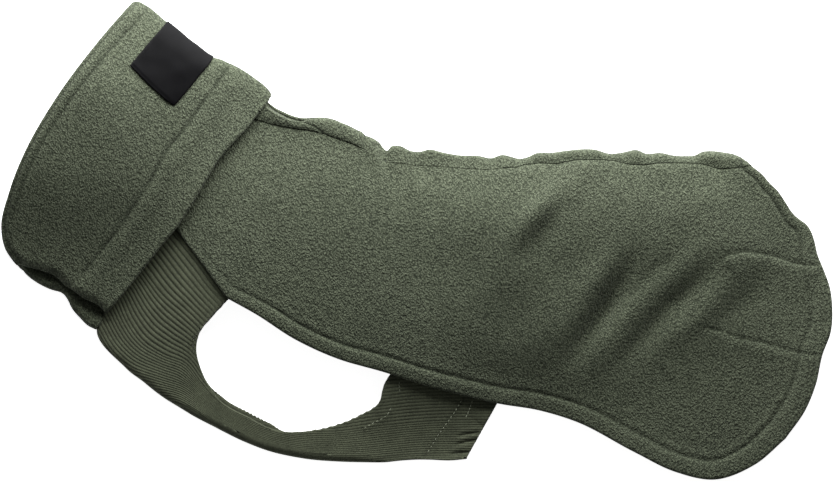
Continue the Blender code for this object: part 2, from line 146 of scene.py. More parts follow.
# %% Tools for curves
def smooth_path(points, step=1.0):
    """A smooth curve through the points, as a dense list of places along it."""
    knots = np.array(points, dtype=float)
    chords = np.linalg.norm(np.diff(knots, axis=0), axis=1)
    at = np.concatenate([[0.0], np.cumsum(chords)])
    slopes = np.gradient(knots, at, axis=0, edge_order=1)
    dense = []
    for k, chord in enumerate(chords):
        t = np.linspace(0.0, 1.0, max(3, int(chord / step) + 2))[:-1, None]
        dense.append(
            (2 * t**3 - 3 * t**2 + 1) * knots[k]
            + (t**3 - 2 * t**2 + t) * chord * slopes[k]
            + (3 * t**2 - 2 * t**3) * knots[k + 1]
            + (t**3 - t**2) * chord * slopes[k + 1]
        )
    return np.concatenate(dense + [knots[-1:]])


def run_along(path):
    """Distance from the start of a path to each of its places."""
    return np.concatenate([[0.0], np.cumsum(np.linalg.norm(np.diff(path, axis=0), axis=1))])


def along(path, fraction):
    """Places at the given fractions of a path's length."""
    at = run_along(path)
    wanted = np.asarray(fraction) * at[-1]
    return np.stack([np.interp(wanted, at, path[:, k]) for k in range(path.shape[1])], axis=-1)


def inset(path, distance):
    """A path moved sideways, to the right of its direction."""
    heading = np.gradient(path, axis=0)
    heading /= np.maximum(np.linalg.norm(heading, axis=1, keepdims=True), 1e-9)
    return path + distance * np.stack([heading[:, 1], -heading[:, 0]], axis=1)


print("back line, mm:", round(run_along(smooth_path(BACK_LINE))[-1], 1))

# %% [markdown]
# Blender's KD tree finds the nearest of many points, but not the side of a curve or the way along it. A
# sheet also has tens of thousands of points and needs a dozen distances at each, so numpy measures
# thousands of them together here.

# %% Distance from a curve
AT_ONCE = 8000          # places that are measured together, to save memory


def nearest(path, x, y):
    """Distance to a path, the share of the path's length there, and the side: 1 is left of it."""
    spots = np.stack([x, y], axis=-1).reshape(-1, 1, 2)
    start, step = path[:-1], np.diff(path, axis=0)
    lengths = np.maximum(np.linalg.norm(step, axis=1), 1e-9)
    run = np.concatenate([[0.0], np.cumsum(lengths)])
    found = np.empty((len(spots), 3))
    for first in range(0, len(spots), AT_ONCE):
        away = spots[first:first + AT_ONCE] - start
        t = np.clip((away * step).sum(-1) / lengths**2, 0, 1)
        gap = away - t[..., None] * step
        distance = np.hypot(gap[..., 0], gap[..., 1])
        k = distance.argmin(1)
        row = np.arange(len(k))
        side = np.where(step[k, 0] * gap[row, k, 1] - step[k, 1] * gap[row, k, 0] >= 0, 1, -1)
        share = (run[k] + t[row, k] * lengths[k]) / run[-1]
        found[first:first + AT_ONCE] = np.stack([distance[row, k], share, side], axis=1)
    return [found[:, k].reshape(np.shape(x)) for k in range(3)]


print("from the origin to the back line, mm:", nearest(smooth_path(BACK_LINE), 0.0, 0.0)[0].round(1))

# %% [markdown]
# Two more small rules turn a distance into a shape. A ramp is for what starts or ends somewhere, such as
# the doubled cloth of a hem, and a bump is for what follows a line, such as a stitched groove. Both have
# soft ends, because cloth has no corners there.

# %% Smooth steps and bumps
def ramp(value, low, high):
    """0 below low, 1 above high, with a smooth rise between them."""
    t = np.clip((value - low) / (high - low), 0, 1)
    return t * t * (3 - 2 * t)


def bump(distance, width):
    """1 on a line, falling smoothly to 0 at about twice the width."""
    return np.exp(-((distance / width) ** 2))


print("a bump at its width and at twice its width:", bump(np.array([1.0, 2.0]), 1.0).round(2))

# %% [markdown]
# ## The lie of the upper layer
#
# One height field serves every upper layer, so the collar, the body and the rib panel under it always
# stay in the same order. It has a base loft, the low hills where the cloth is held up by its own
# springiness, and the creases that run from the loin to the flank. Blender's cloth simulation could drape
# the layers too, but it would put the creases where it liked. Here each one is placed, is deepest
# in the middle of its line and fades out at both ends.

# %% Hills
Hill = namedtuple("Hill", "x y height reach_x reach_y")
HILLS = [Hill(*row) for row in (
    (-241, 51, 8.3, 60, 43),    # collar, lower part
    (-208, 97, 5.6, 33, 32),    # collar, upper part
    (-74, 28, 10.9, 89, 95),    # shoulder
    (-80, 37, -3.1, 39, 75),    # its slack middle
    (0, 78, -5.4, 95, 58),      # falls away to the back line
    (79, -51, 7.0, 112, 34),    # flank
    (61, 8, 7.9, 66, 43),       # loin
    (158, 6, 7.4, 52, 51),      # rump
    (207, -4, 4.9, 29, 39),     # tail
    (212, -103, 1.8, 72, 55),   # under the tail
    (88, -122, -2.2, 60, 48),   # falls to the flank's hem
    (-82, 96, -3.4, 78, 44),    # and to the slit
    (105, 30, 3.2, 90, 50),     # back of the loin
    (-140, -30, 2.2, 34, 55),   # over the chest panel
    (-225, 112, 2.0, 48, 34),   # top of the collar
    (15, 60, -1.9, 22, 22),     # dip of the back line behind the slit
    (95, -80, 1.8, 48, 26),     # lower flank
    (62, 22, 1.5, 50, 34),      # top of the loin
    (-105, 88, -1.2, 60, 35),   # beside the slit
    (-135, -45, 1.2, 35, 45),   # chest panel beside the leg hole
    (-30, -88, 1.2, 60, 35),    # hem over the leg hole
    (255, 15, -1.5, 35, 55),    # falls to the tail's hem
    (68, -108, -1.5, 24, 26),   # dip behind the chest panel
    (8, -86, 1.5, 24, 22),      # over the chest panel's rear
    (58, -84, -1.2, 20, 22),    # dip above the flank's hem
)]
print("hills:", len(HILLS))

# %% [markdown]
# The creases run from the gathers at the loin down to the flank, where the cloth opens out again.
# Sculpting could press them in, but a line with a depth and a width is easier to change. A depth below
# zero is a valley, and one above it is a ridge.

# %% Creases
Crease = namedtuple("Crease", "start middle end depth width")
CREASES = [Crease(*row) for row in (
    ((105, 52), (78, 17), (58, -8), 4.1, 8),
    ((106, 38), (82, 4), (50, -36), -1.5, 9),
    ((142, 9), (115, -27), (87, -43), 1.3, 9),
    ((154, 4), (125, -44), (92, -94), -6.8, 8.5),
    ((185, 6), (145, -31), (109, -71), -1.5, 5),
    ((214, -2), (168, -43), (119, -100), -3.8, 8),
    ((216, -9), (185, -53), (150, -72), 1.5, 7.5),
    ((238, -10), (213, -44), (186, -57), -1.6, 10),
    ((73, -18), (63, -54), (51, -81), -2.6, 16),
    ((9, 44), (0, 33), (-12, 33), 1.0, 10),
    ((82, 14), (58, -18), (38, -48), 1.4, 13),
    ((136, -8), (106, -44), (76, -84), 0.9, 9),
    ((228, 50), (195, 30), (160, 10), 1.3, 13),
    ((202, 14), (180, -15), (158, -44), 0.9, 8),
)]
print("creases:", len(CREASES), "and of them valleys:", sum(crease.depth < 0 for crease in CREASES))

# %% [markdown]
# The height of the upper layer is then the sum of all of them, at any place.

# %% Height of the upper layer
BASE_LOFT = 7.8         # height of the upper layer of fleece between its hills


def upper_height(x, y):
    """Middle surface of the upper layer of fleece."""
    z = np.full(np.shape(x), BASE_LOFT)
    for hill in HILLS:
        off_x, off_y = (x - hill.x) / hill.reach_x, (y - hill.y) / hill.reach_y
        z = z + hill.height * np.exp(-off_x**2 - off_y**2)
    for crease in CREASES:
        line = smooth_path((crease.start, crease.middle, crease.end), step=6.0)
        distance, share, _ = nearest(line, x, y)
        z = z + crease.depth * bump(distance, crease.width) * np.sin(np.pi * share) ** 2
    return z


print("height of the upper layer at the origin, mm:", round(float(upper_height(0.0, 0.0)), 1))

# %% [markdown]
# The lower layers lie on the table, except where they pass over the collar's lower half: there they
# rise by one thickness of cloth. The rib panel's lower half also lies on the back panel's rim.

# %% Heights of the lower layers
COLLAR_SLOPE = (15, 36)     # past the collar's edge, from where to where the layers come down to the table
RIM_SLOPE = (10, 24)        # in from the body's rim, from where to where the rib panel comes down off it


def past_collar(x, y):
    """Distance past the collar's turned edge, towards the tail."""
    (edge_x, edge_y), (low_x, low_y) = TURNED_EDGE[0], TURNED_EDGE[-1]
    run = np.hypot(low_x - edge_x, low_y - edge_y)
    return ((x - edge_x) * (edge_y - low_y) + (y - edge_y) * (low_x - edge_x)) / run


def over_collar(x, y):
    """Height that the lower layers gain where they lie on the collar's right half."""
    return (FLEECE + GAP) * (1 - ramp(past_collar(x, y), *COLLAR_SLOPE))


def lower_fleece(x, y):
    """Middle surface of the right back panel."""
    return FLEECE / 2 + over_collar(x, y)


def lower_rib(x, y):
    """Middle surface of the chest panel's right half."""
    rim = smooth_path(FRONT_EDGE + FLANK_HEM[1:8], step=4.0)
    on_fleece = (FLEECE + 1.9 * GAP) * (1 - ramp(nearest(rim, x, y)[0], *RIM_SLOPE))
    return RIB / 2 + over_collar(x, y) + on_fleece


def upper_rib(x, y):
    """Middle surface of the chest panel's left half, which passes under the fleece."""
    return upper_height(x, y) - (FLEECE + RIB) / 2 - GAP


print("height of the right back panel at the origin, mm:", round(float(lower_fleece(0.0, 0.0)), 2))

# %% [markdown]
# ## Sheets of cloth
#
# Every panel is a grid that spans four drawn edges (a Coons patch). It could also be cut out of a big flat
# grid, but then its rows would meet the edges at a slant, and hems and stitches follow edges. Rows are
# close together round a fold and at the free edges, where the cloth turns, and even in between.

# %% Spanning four edges
def patch(edges, s, u):
    """Places on the sheet spanned by four edges: s runs along the top edge and u down from it."""
    top, bottom, left, right = edges
    s = np.clip(s, 0, 1)[..., None]
    u = np.clip(u, 0, 1)[..., None]
    across = (1 - u) * along(top, s[..., 0]) + u * along(bottom, s[..., 0])
    down = (1 - s) * along(left, u[..., 0]) + s * along(right, u[..., 0])
    corners = (1 - u) * ((1 - s) * top[0] + s * top[-1]) + u * ((1 - s) * bottom[0] + s * bottom[-1])
    return across + down - corners


square = [np.array(edge) for edge in (((0, 1), (1, 1)), ((0, 0), (1, 0)), ((0, 1), (0, 0)), ((1, 1), (1, 0)))]
print("middle of a square patch:", patch(square, 0.5, 0.5))

# %% [markdown]
# Each fold has the height of its outermost line and a reach, the distance over which the cloth has
# finished turning: a quarter ellipse on each side. Springy cloth doesn't stop turning at once, so a part
# of the rise, the soft share, goes on over a longer reach. A Bevel modifier rounds a sharp fold too, but
# it can't make this long soft rise.

# %% Rounding a fold
SOFT_REACH = 42.0       # the soft share of a rise goes on over this distance
SQUARE_START = 0.1      # the share of its rise that a layer has at once, beside its fold


def fold_steps(reach, length, turns, flats, rim=()):
    """Distances from a fold to a sheet's far edge. rim lists distances of the last rows from it."""
    round_part = reach * (1 - np.cos(np.linspace(0, np.pi / 2, turns + 1)))
    last = length - max(rim, default=0.0)
    return np.concatenate([round_part, np.linspace(reach, last, flats + 1)[1:], length - np.array(rim)[1:]])


def quarter_round(distance, reach):
    """Height share of a quarter ellipse: 0 at the fold, 1 at its reach."""
    return np.sqrt(1 - (1 - np.clip(distance / reach, 0, 1)) ** 2)


def fold_share(distance, reach, soft=0.0):
    """Share of its height that a layer has reached at a distance from its fold."""
    share = (1 - soft) * quarter_round(distance, reach) + soft * quarter_round(distance, SOFT_REACH)
    return np.where(distance <= 1e-6, 0.0, SQUARE_START + (1 - SQUARE_START) * share)


print("share of its height at 0, 2, 5 and 9 mm:", fold_share(np.array([0.0, 2.0, 5.0, 9.0]), 9.0).round(2))

# %% [markdown]
# With the steps and the patch together, a panel's places follow from its edges and its fold.

# %% Places on a panel
RIM = (2.6, 1.7, 1.0, 0.5, 0.15, 0.0)     # rows near a free edge, in millimetres from it


def on_panel(edges, s, distances):
    """Places on a panel at distances from its top edge, a row for each section."""
    lengths = np.linalg.norm(along(edges[0], s) - along(edges[1], s), axis=1)
    share = distances / lengths[:, None]
    spots = patch(edges, np.repeat(s[:, None], share.shape[1], axis=1), share)
    return spots[..., 0], spots[..., 1], np.linalg.norm(spots - spots[:, :1], axis=-1)


def panel(edges, s, reach, turns, flats, tuck=0.0):
    """Places on a whole panel, from its fold to its free edge, or to a tuck short of it."""
    lengths = np.linalg.norm(along(edges[0], s) - along(edges[1], s), axis=1)
    steps = [fold_steps(reach, length - tuck, turns, flats, RIM) for length in lengths]
    return on_panel(edges, s, np.stack(steps))

# %% [markdown]
# A real hem or fold has a round edge, not a square one. The wall comes from a Solidify modifier, so the
# edge is rounded by thinning the wall over the last few millimetres: `rounded` follows a half circle. A
# bevel on the finished wall would do it too, but it would cut across the narrow rows at the rim.

# %% Round edges, and surfaces moved out
THINNEST = 0.1          # share of its thickness that a wall keeps at its rim


def rounded(thickness, edge_distance):
    """Thickness near a free edge, so that the edge is round."""
    return thickness * np.maximum(quarter_round(edge_distance, thickness / 2), THINNEST)


def moved_out(grid, distance):
    """The grid's points moved along its normals."""
    normals = np.cross(np.gradient(grid, axis=0), np.gradient(grid, axis=1))
    normals /= np.maximum(np.linalg.norm(normals, axis=-1, keepdims=True), 1e-9)
    return grid + normals * np.broadcast_to(distance, grid.shape[:2])[..., None]


def joined(left, right):
    """One sheet from its two halves, each from the fold outwards: they share the fold's line."""
    return np.concatenate([left[:, ::-1], right[:, 1:]], axis=1)


print("fleece at 0, 0.5 and 1.25 mm from its edge, mm:", rounded(FLEECE, np.array([0.0, 0.5, 1.25])).round(2))

# %% [markdown]
# Every piece of cloth is an object at the origin with its place in its mesh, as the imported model's own
# pieces are. It is smooth-shaded and has one finish.

# %% Objects
def in_scene(name, data):
    """A new object in the scene, at the origin and unturned."""
    thing = bpy.data.objects.new(name, data)
    bpy.context.scene.collection.objects.link(thing)
    return thing


def piece(name, bm, finish):
    """The shape that was made in bm, as a smooth-shaded object with one finish."""
    mesh = bpy.data.meshes.new(name)
    bm.to_mesh(mesh)
    bm.free()
    mesh.shade_smooth()
    mesh.materials.append(finish)
    return in_scene(name, mesh)

# %% [markdown]
# A sheet starts as bmesh's flat grid, and each of its vertices is then put in its place. A vertex group
# carries the thickness to the Solidify modifier. More numbers ride along on the mesh for the materials:
# `groove`, the shade that is painted into the colour where stitches press the cloth down, and on the chest
# panel `wale`, which counts the ribs, and `depth`, which says how deep they look and how much shade is
# painted between them.

# %% Making a sheet
THICKEST = 6.0          # the wall that a weight of 1 in the vertex group stands for


def make_sheet(name, grid, thickness, finish, slot, nodes, **fields):
    """A closed sheet of cloth from a grid of points in millimetres, and its thickness at each.

    The fields are more numbers for each point, which the mesh carries for the materials.
    """
    rows, columns = grid.shape[0] - 1, grid.shape[1] - 1
    weight = np.broadcast_to(thickness, grid.shape[:2]) / THICKEST
    bm = bmesh.new()
    bmesh.ops.create_grid(bm, x_segments=rows, y_segments=columns, size=1.0)
    deform = bm.verts.layers.deform.verify()
    layers = {key: bm.verts.layers.float.new(key) for key in fields}
    for vert in bm.verts:
        i = round((vert.co.x + 1) / 2 * rows)
        j = round((vert.co.y + 1) / 2 * columns)
        vert.co = grid[i, j] * MM
        vert[deform][0] = weight[i, j]
        for key, layer in layers.items():
            vert[layer] = fields[key][i, j]
    sheet = piece(name, bm, finish)
    sheet.vertex_groups.new(name="thickness")
    wall = sheet.modifiers.new("wall", "SOLIDIFY")
    wall.thickness = THICKEST * MM
    wall.offset = 0.0
    wall.vertex_group = "thickness"
    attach(sheet, "root")
    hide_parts(*nodes)
    low, high = grid.reshape(-1, 3).min(0), grid.reshape(-1, 3).max(0)
    print(f"{name}: {rows} x {columns} cells, mm", low.round(1), high.round(1))
    return sheet

# %% [markdown]
# ## Finishes
#
# Polar fleece is brushed until its surface is a mat of tiny curls. From arm's length it reads as worm-like
# pebbles 1 to 2 mm across, light on top and dark between, with slow changes of tone where the nap lies
# another way. Both effects are node groups, because the rib and the label use them too. A few helpers
# make and join the nodes.

# %% Helpers for shader nodes
def new_group(name, inputs, outputs):
    """An empty shader node group with named sockets, and its two end nodes."""
    group = bpy.data.node_groups.new(name, "ShaderNodeTree")
    for label, default in inputs:
        socket = group.interface.new_socket(name=label, in_out="INPUT", socket_type="NodeSocketFloat")
        socket.default_value = default
    for label in outputs:
        group.interface.new_socket(name=label, in_out="OUTPUT", socket_type="NodeSocketFloat")
    return group, group.nodes.new("NodeGroupInput"), group.nodes.new("NodeGroupOutput")


def feed(tree, socket, value):
    """Sets a socket to a number or a vector, or links another socket to it."""
    if isinstance(value, bpy.types.NodeSocket):
        tree.links.new(value, socket)
    else:
        socket.default_value = value


def math_node(tree, operation, first, second=0.0):
    """A math node fed by sockets or numbers; returns its result."""
    node = tree.nodes.new("ShaderNodeMath")
    node.operation = operation
    feed(tree, node.inputs[0], first)
    feed(tree, node.inputs[1], second)
    return node.outputs[0]


def vector_node(tree, operation, first, second):
    """The same for vectors. SCALE takes a number as its second value."""
    node = tree.nodes.new("ShaderNodeVectorMath")
    node.operation = operation
    feed(tree, node.inputs[0], first)
    feed(tree, node.inputs["Scale" if operation == "SCALE" else 1], second)
    return node.outputs[0]


def swing(tree, value, middle, gain):
    """How far a value is from its middle, times a gain."""
    return math_node(tree, "MULTIPLY", math_node(tree, "SUBTRACT", value, middle), gain)


def own_place(tree):
    """The place on the object itself: a pattern made from it stays where it is on the cloth."""
    return tree.nodes.new("ShaderNodeTexCoord").outputs["Object"]


def noise_node(tree, vector, scale, detail, distortion=0.0):
    """A noise texture on a vector, at a scale that is a socket."""
    node = tree.nodes.new("ShaderNodeTexNoise")
    node.inputs["Detail"].default_value = detail
    node.inputs["Distortion"].default_value = distortion
    tree.links.new(vector, node.inputs["Vector"])
    tree.links.new(scale, node.inputs["Scale"])
    return node

# %% [markdown]
# The slow changes of tone are one soft noise. A painted mask could give them too, but a noise on the
# object's own coordinates needs no unwrapping, and its patches have a size in millimetres.

# %% Slow changes of tone
def cloth_mottle():
    """Slow changes of tone, as nap that lies in different directions."""
    group, inside, out = new_group("cloth_mottle", (("Patch size", 12.0),), ("Tone",))
    scale = math_node(group, "DIVIDE", 1 / MM, inside.outputs["Patch size"])
    patches = noise_node(group, own_place(group), scale, detail=3.0)
    group.links.new(patches.outputs["Fac"], out.inputs["Tone"])
    return group


MOTTLE = cloth_mottle()
print("node group:", MOTTLE.name)

# %% [markdown]
# The curls are cells pushed about by a noise, which bends them, with a second noise that makes some stand
# higher. A noise alone looks like a cloud, and cells alone look like cobbles.

# %% Curls of the nap
CURL_STRETCH = (1.2, 0.77, 1.0)         # curls are a little longer across the body than along it
DRIFT_SCALE, DRIFT = 0.4, 1.9           # the noise that bends the curls: how fine, and how far, in curls
CELL_SMOOTHNESS = 0.3
SWELL_SCALE, SWELL_TWIST = 0.85, 0.8    # the noise that lifts some of them
SHARE_OF_EACH = 0.6
CURLS_MIDDLE = 0.67                     # the middle of the height that comes out


def fleece_curls():
    """The curls of the nap, as a height from about 0.3 to 1."""
    group, inside, out = new_group("fleece_curls", (("Curl size", 1.6),), ("Height",))
    place, size = vector_node(group, "MULTIPLY", own_place(group), CURL_STRETCH), inside.outputs["Curl size"]
    scale = math_node(group, "DIVIDE", 1 / MM, size)
    drift = noise_node(group, place, math_node(group, "MULTIPLY", scale, DRIFT_SCALE), detail=1.0)
    reach = math_node(group, "MULTIPLY", size, DRIFT * MM)
    push = vector_node(group, "SCALE", drift.outputs["Color"], reach)
    cells = group.nodes.new("ShaderNodeTexVoronoi")
    cells.feature = "SMOOTH_F1"
    cells.inputs["Smoothness"].default_value = CELL_SMOOTHNESS
    group.links.new(vector_node(group, "ADD", place, push), cells.inputs["Vector"])
    group.links.new(scale, cells.inputs["Scale"])
    tops = math_node(group, "SUBTRACT", 1.0, cells.outputs["Distance"])
    fine = math_node(group, "MULTIPLY", scale, SWELL_SCALE)
    swell = noise_node(group, place, fine, detail=1.0, distortion=SWELL_TWIST)
    parts = [math_node(group, "MULTIPLY", part, SHARE_OF_EACH) for part in (tops, swell.outputs["Fac"])]
    group.links.new(math_node(group, "ADD", *parts), out.inputs["Height"])
    return group


CURLS = fleece_curls()
print("node group:", CURLS.name)

# %% [markdown]
# A finish is a Principled material. Its colour runs from a dark tone to a light tone on the tips of the
# curls; the dark between the curls and in stitched grooves is painted shade. The same curls feed a Bump
# node. Real hair would show each fibre, but only at the price of millions of strands. A little sheen
# stands for the fibre ends.

# %% Building a material
def new_finish(name, roughness, sheen, gloss=0.2):
    """A material with its node tree and its Principled shader."""
    finish = bpy.data.materials.new(name)
    finish.use_nodes = True
    shader = finish.node_tree.nodes["Principled BSDF"]
    shader.inputs["Roughness"].default_value = roughness
    shader.inputs["Sheen Weight"].default_value = sheen
    shader.inputs["Specular IOR Level"].default_value = gloss
    return finish, finish.node_tree, shader


def placed(tree, group, **values):
    """A node group in a material, with its own values."""
    node = tree.nodes.new("ShaderNodeGroup")
    node.node_tree = group
    for label, value in values.items():
        node.inputs[label.replace("_", " ")].default_value = value
    return node


def coloured(tree, shader, tones, dark, light, start=0.5):
    """Adds the tones to the start. The sum picks a colour, from the dark one at 0 to the light one at 1."""
    share = start
    for tone in tones:
        share = math_node(tree, "ADD", share, tone)
    limits = tree.nodes.new("ShaderNodeClamp")
    mix = tree.nodes.new("ShaderNodeMix")
    mix.data_type = "RGBA"
    mix.inputs[6].default_value = (*dark, 1.0)
    mix.inputs[7].default_value = (*light, 1.0)
    tree.links.new(share, limits.inputs["Value"])
    tree.links.new(limits.outputs[0], mix.inputs["Factor"])
    tree.links.new(mix.outputs[2], shader.inputs["Base Color"])


def mesh_value(tree, name):
    """A number that the mesh carries at each point."""
    node = tree.nodes.new("ShaderNodeAttribute")
    node.attribute_name = name
    return node.outputs["Fac"]


def bumped(tree, shader, height, strength, distance_mm):
    """Gives the shader's surface a relief: distance_mm is the height of a value of 1."""
    node = tree.nodes.new("ShaderNodeBump")
    node.inputs["Strength"].default_value = strength
    node.inputs["Distance"].default_value = distance_mm * MM
    tree.links.new(height, node.inputs["Height"])
    tree.links.new(node.outputs["Normal"], shader.inputs["Normal"])

# %% [markdown]
# The tone of the curls is partly the cloth's own grain and partly painted shade: dark in the hollows
# between the curls and light on their tips. It is added up with the tone of the patches and the shade
# painted into the stitched grooves to one share.

# %% Fleece
FLEECE_DARK, FLEECE_LIGHT = (0.027, 0.033, 0.0197), (0.0935, 0.1085, 0.0708)
FLEECE_CURL, FLEECE_PATCH = 1.13, 14.0          # sizes in millimetres
# The curl tone is the cloth's grain with painted shade in the hollows between the curls; the groove tone is
# painted shade in stitched grooves.
CURL_GRAIN_AND_SHADE, PATCH_TONE, FLEECE_GROOVE_SHADE = 2.4, 0.3, -0.45


def fleece_finish():
    finish, tree, shader = new_finish("polar_fleece", roughness=0.95, sheen=0.06)
    curls = placed(tree, CURLS, Curl_size=FLEECE_CURL).outputs["Height"]
    mottle = placed(tree, MOTTLE, Patch_size=FLEECE_PATCH).outputs["Tone"]
    groove_shade = math_node(tree, "MULTIPLY", mesh_value(tree, "groove"), FLEECE_GROOVE_SHADE)
    tones = swing(tree, curls, CURLS_MIDDLE, CURL_GRAIN_AND_SHADE), swing(tree, mottle, 0.5, PATCH_TONE), groove_shade
    coloured(tree, shader, tones, FLEECE_DARK, FLEECE_LIGHT)
    bumped(tree, shader, curls, strength=1.0, distance_mm=1.2)
    return finish


fleece = fleece_finish()
print("finish:", fleece.name)

# %% [markdown]
# The rib knit is thinner and smoother. Its ribs (knitters call them wales) are real ridges in the mesh of
# the side that shows, because they notch the panel's edge and catch the light. The `wale` number gives
# them a bump everywhere, also where the mesh is coarse or the knit is stretched flat, and paints shade
# into the colour between them and light on their tops.

# %% Rib knit
RIB_DARK, RIB_LIGHT = (0.0212, 0.0245, 0.0142), (0.0845, 0.0955, 0.059)
RIB_LOOP, RIB_PATCH = 1.0, 9.0                  # sizes in millimetres
# Painted shade: the colour is darker between the ribs and lighter on their tops, darker in the hollows
# between the loops, and darker in stitched grooves.
RIDGE_POWER, RIDGE_MIDDLE, RIB_RIDGE_SHADE = 0.5, 0.77, 1.05
RIB_PATCH_TONE, LOOP_GRAIN_AND_SHADE, LOOP_RELIEF, RIB_GROOVE_SHADE = 0.5, 0.8, 0.25, -0.5


def rib_finish():
    finish, tree, shader = new_finish("rib_knit", roughness=0.9, sheen=0.08)
    turn = math_node(tree, "MULTIPLY", mesh_value(tree, "wale"), float(np.pi))
    ridge = math_node(tree, "ABSOLUTE", math_node(tree, "SINE", turn))
    mottle = placed(tree, MOTTLE, Patch_size=RIB_PATCH).outputs["Tone"]
    loops = placed(tree, CURLS, Curl_size=RIB_LOOP).outputs["Height"]
    deep = mesh_value(tree, "depth")
    round_ridge = math_node(tree, "POWER", ridge, RIDGE_POWER)
    tones = (
        math_node(tree, "MULTIPLY", swing(tree, round_ridge, RIDGE_MIDDLE, RIB_RIDGE_SHADE), deep),
        swing(tree, mottle, 0.5, RIB_PATCH_TONE),
        swing(tree, loops, CURLS_MIDDLE, LOOP_GRAIN_AND_SHADE),
        math_node(tree, "MULTIPLY", mesh_value(tree, "groove"), RIB_GROOVE_SHADE),
    )
    coloured(tree, shader, tones, RIB_DARK, RIB_LIGHT)
    tall, fine = math_node(tree, "MULTIPLY", ridge, deep), math_node(tree, "MULTIPLY", loops, LOOP_RELIEF)
    bumped(tree, shader, math_node(tree, "ADD", tall, fine), strength=0.5, distance_mm=0.3)
    return finish


rib_knit = rib_finish()
print("finish:", rib_knit.name)

# %% [markdown]
# The label is black satin ribbon, left bare. Satin is a close weave: a Wave texture gives the fine threads
# and their soft gloss, with no need to model them. The sewing thread on the rib is a paler green than the
# cloth, so its stitches read as dots.

# %% Label satin and thread
SATIN_DARK, SATIN_LIGHT = (0.0015, 0.0015, 0.0018), (0.0045, 0.0045, 0.005)
THREAD_DARK, THREAD_LIGHT = (0.10, 0.115, 0.075), (0.22, 0.24, 0.17)


def satin_finish():
    finish, tree, shader = new_finish("label_satin", roughness=0.5, sheen=0.0, gloss=0.04)
    threads = tree.nodes.new("ShaderNodeTexWave")
    threads.inputs["Scale"].default_value = 900.0
    threads.inputs["Distortion"].default_value = 0.4
    tree.links.new(own_place(tree), threads.inputs["Vector"])
    mottle = placed(tree, MOTTLE, Patch_size=5.0).outputs["Tone"]
    tone = math_node(tree, "MULTIPLY", mottle, threads.outputs["Fac"])
    coloured(tree, shader, (tone,), SATIN_DARK, SATIN_LIGHT, start=0.0)
    bumped(tree, shader, threads.outputs["Fac"], strength=0.25, distance_mm=0.2)
    return finish


def thread_finish():
    finish, tree, shader = new_finish("sewing_thread", roughness=0.6, sheen=0.2)
    mottle = placed(tree, MOTTLE, Patch_size=2.0).outputs["Tone"]
    coloured(tree, shader, (mottle,), THREAD_DARK, THREAD_LIGHT, start=0.0)
    bumped(tree, shader, mottle, strength=0.3, distance_mm=0.1)
    return finish


satin, thread = satin_finish(), thread_finish()
print("finishes:", satin.name, thread.name)

# %% [markdown]
# ## Hems and darts of the body
#
# The free edge of the body is turned under and stitched down. Along the flank and the tail that makes a
# band two layers thick, with a groove along its inner edge where the stitches press it. At the chest the
# edge is joined to the rib and is nearly flat. The turned part could be a strip of its own, but only its
# outer face shows, so a thicker wall and a groove do the same. Two darts run in from the tail hem: each is
# a fine pressed line with a soft roll below it.

# %% Hem band
HEM = 3.3               # thickness of a turned and stitched hem, pressed by its stitches
FREE_EDGE = np.concatenate([
    smooth_path(FRONT_EDGE, 3.0), smooth_path(FLANK_HEM, 3.0), smooth_path(TAIL_HEM, 3.0)[::-1],
])
HemRow = namedtuple("HemRow", "at width groove double")
HEM_ROWS = [HemRow(*row) for row in (
    (0.00, 5.0, 0.10, 0.10), (0.09, 6.0, 0.15, 0.15), (0.13, 8.5, 0.60, 0.55), (0.17, 10.0, 0.80, 0.90),
    (0.40, 11.0, 0.80, 1.00), (0.62, 12.5, 0.65, 1.00), (0.72, 15.0, 0.70, 1.00),
    (0.86, 14.0, 0.45, 0.80), (0.92, 8.0, 0.60, 0.60), (0.95, 6.5, 1.20, 0.60), (1.00, 5.5, 1.00, 0.40),
)]
# The groove's tone is painted shade: the colour is darker along the stitched groove.
GROOVE_WIDTH, GROOVE_DEPTH, HEM_GROOVE_SHADE = 1.1, 0.8, 1.1
PUCKER, QUICK_PUCKERS, SLOW_PUCKERS = 0.3, 430, 171     # unevenness of the groove, and its two waves
HEM_ROLL = 0.3                                          # how round the band is across its width
RIDGE_FROM_GROOVE, RIDGE_WIDTH = 3.2, 1.8               # a soft ridge in the cloth beside the groove
REAR_LIFT, REAR_FROM, REAR_TO = 1.3, (0.5, 0.6), (0.8, 0.9)     # under the tail the edge stands up


def hem(x, y):
    """Relief, thickness, painted groove shade and share of doubled cloth of the body's hem at each place."""
    distance, share, _ = nearest(FREE_EDGE, x, y)
    width, depth, double = [np.interp(share, *np.array(HEM_ROWS)[:, (0, k)].T) for k in (1, 2, 3)]
    pucker = 1 + PUCKER * np.sin(share * QUICK_PUCKERS) * np.sin(share * SLOW_PUCKERS + 1)
    groove = bump(distance - width, GROOVE_WIDTH) * pucker * depth
    inside = (1 - ramp(distance, width - 4.0, width + 1.5)) * double
    roll = HEM_ROLL * np.sin(np.pi * np.clip(distance / width, 0, 1)) * inside
    rear = ramp(share, *REAR_FROM)
    ridge = (0.2 + 0.35 * rear) * bump(distance - width - RIDGE_FROM_GROOVE, RIDGE_WIDTH) * double
    lift = REAR_LIFT * (1 - np.clip(distance / (width + 4), 0, 1)) * rear * (1 - ramp(share, *REAR_TO))
    thickness = FLEECE + (HEM - FLEECE) * inside
    relief = roll + ridge + lift - GROOVE_DEPTH * groove
    return relief, rounded(thickness, distance), HEM_GROOVE_SHADE * groove, inside


print("free edge of the body, mm:", round(run_along(FREE_EDGE)[-1]))

# %% [markdown]
# A dart takes up cloth so that the seat gets round. Laid flat it is only its seam that shows, and the
# cloth beside it that rolls over it.

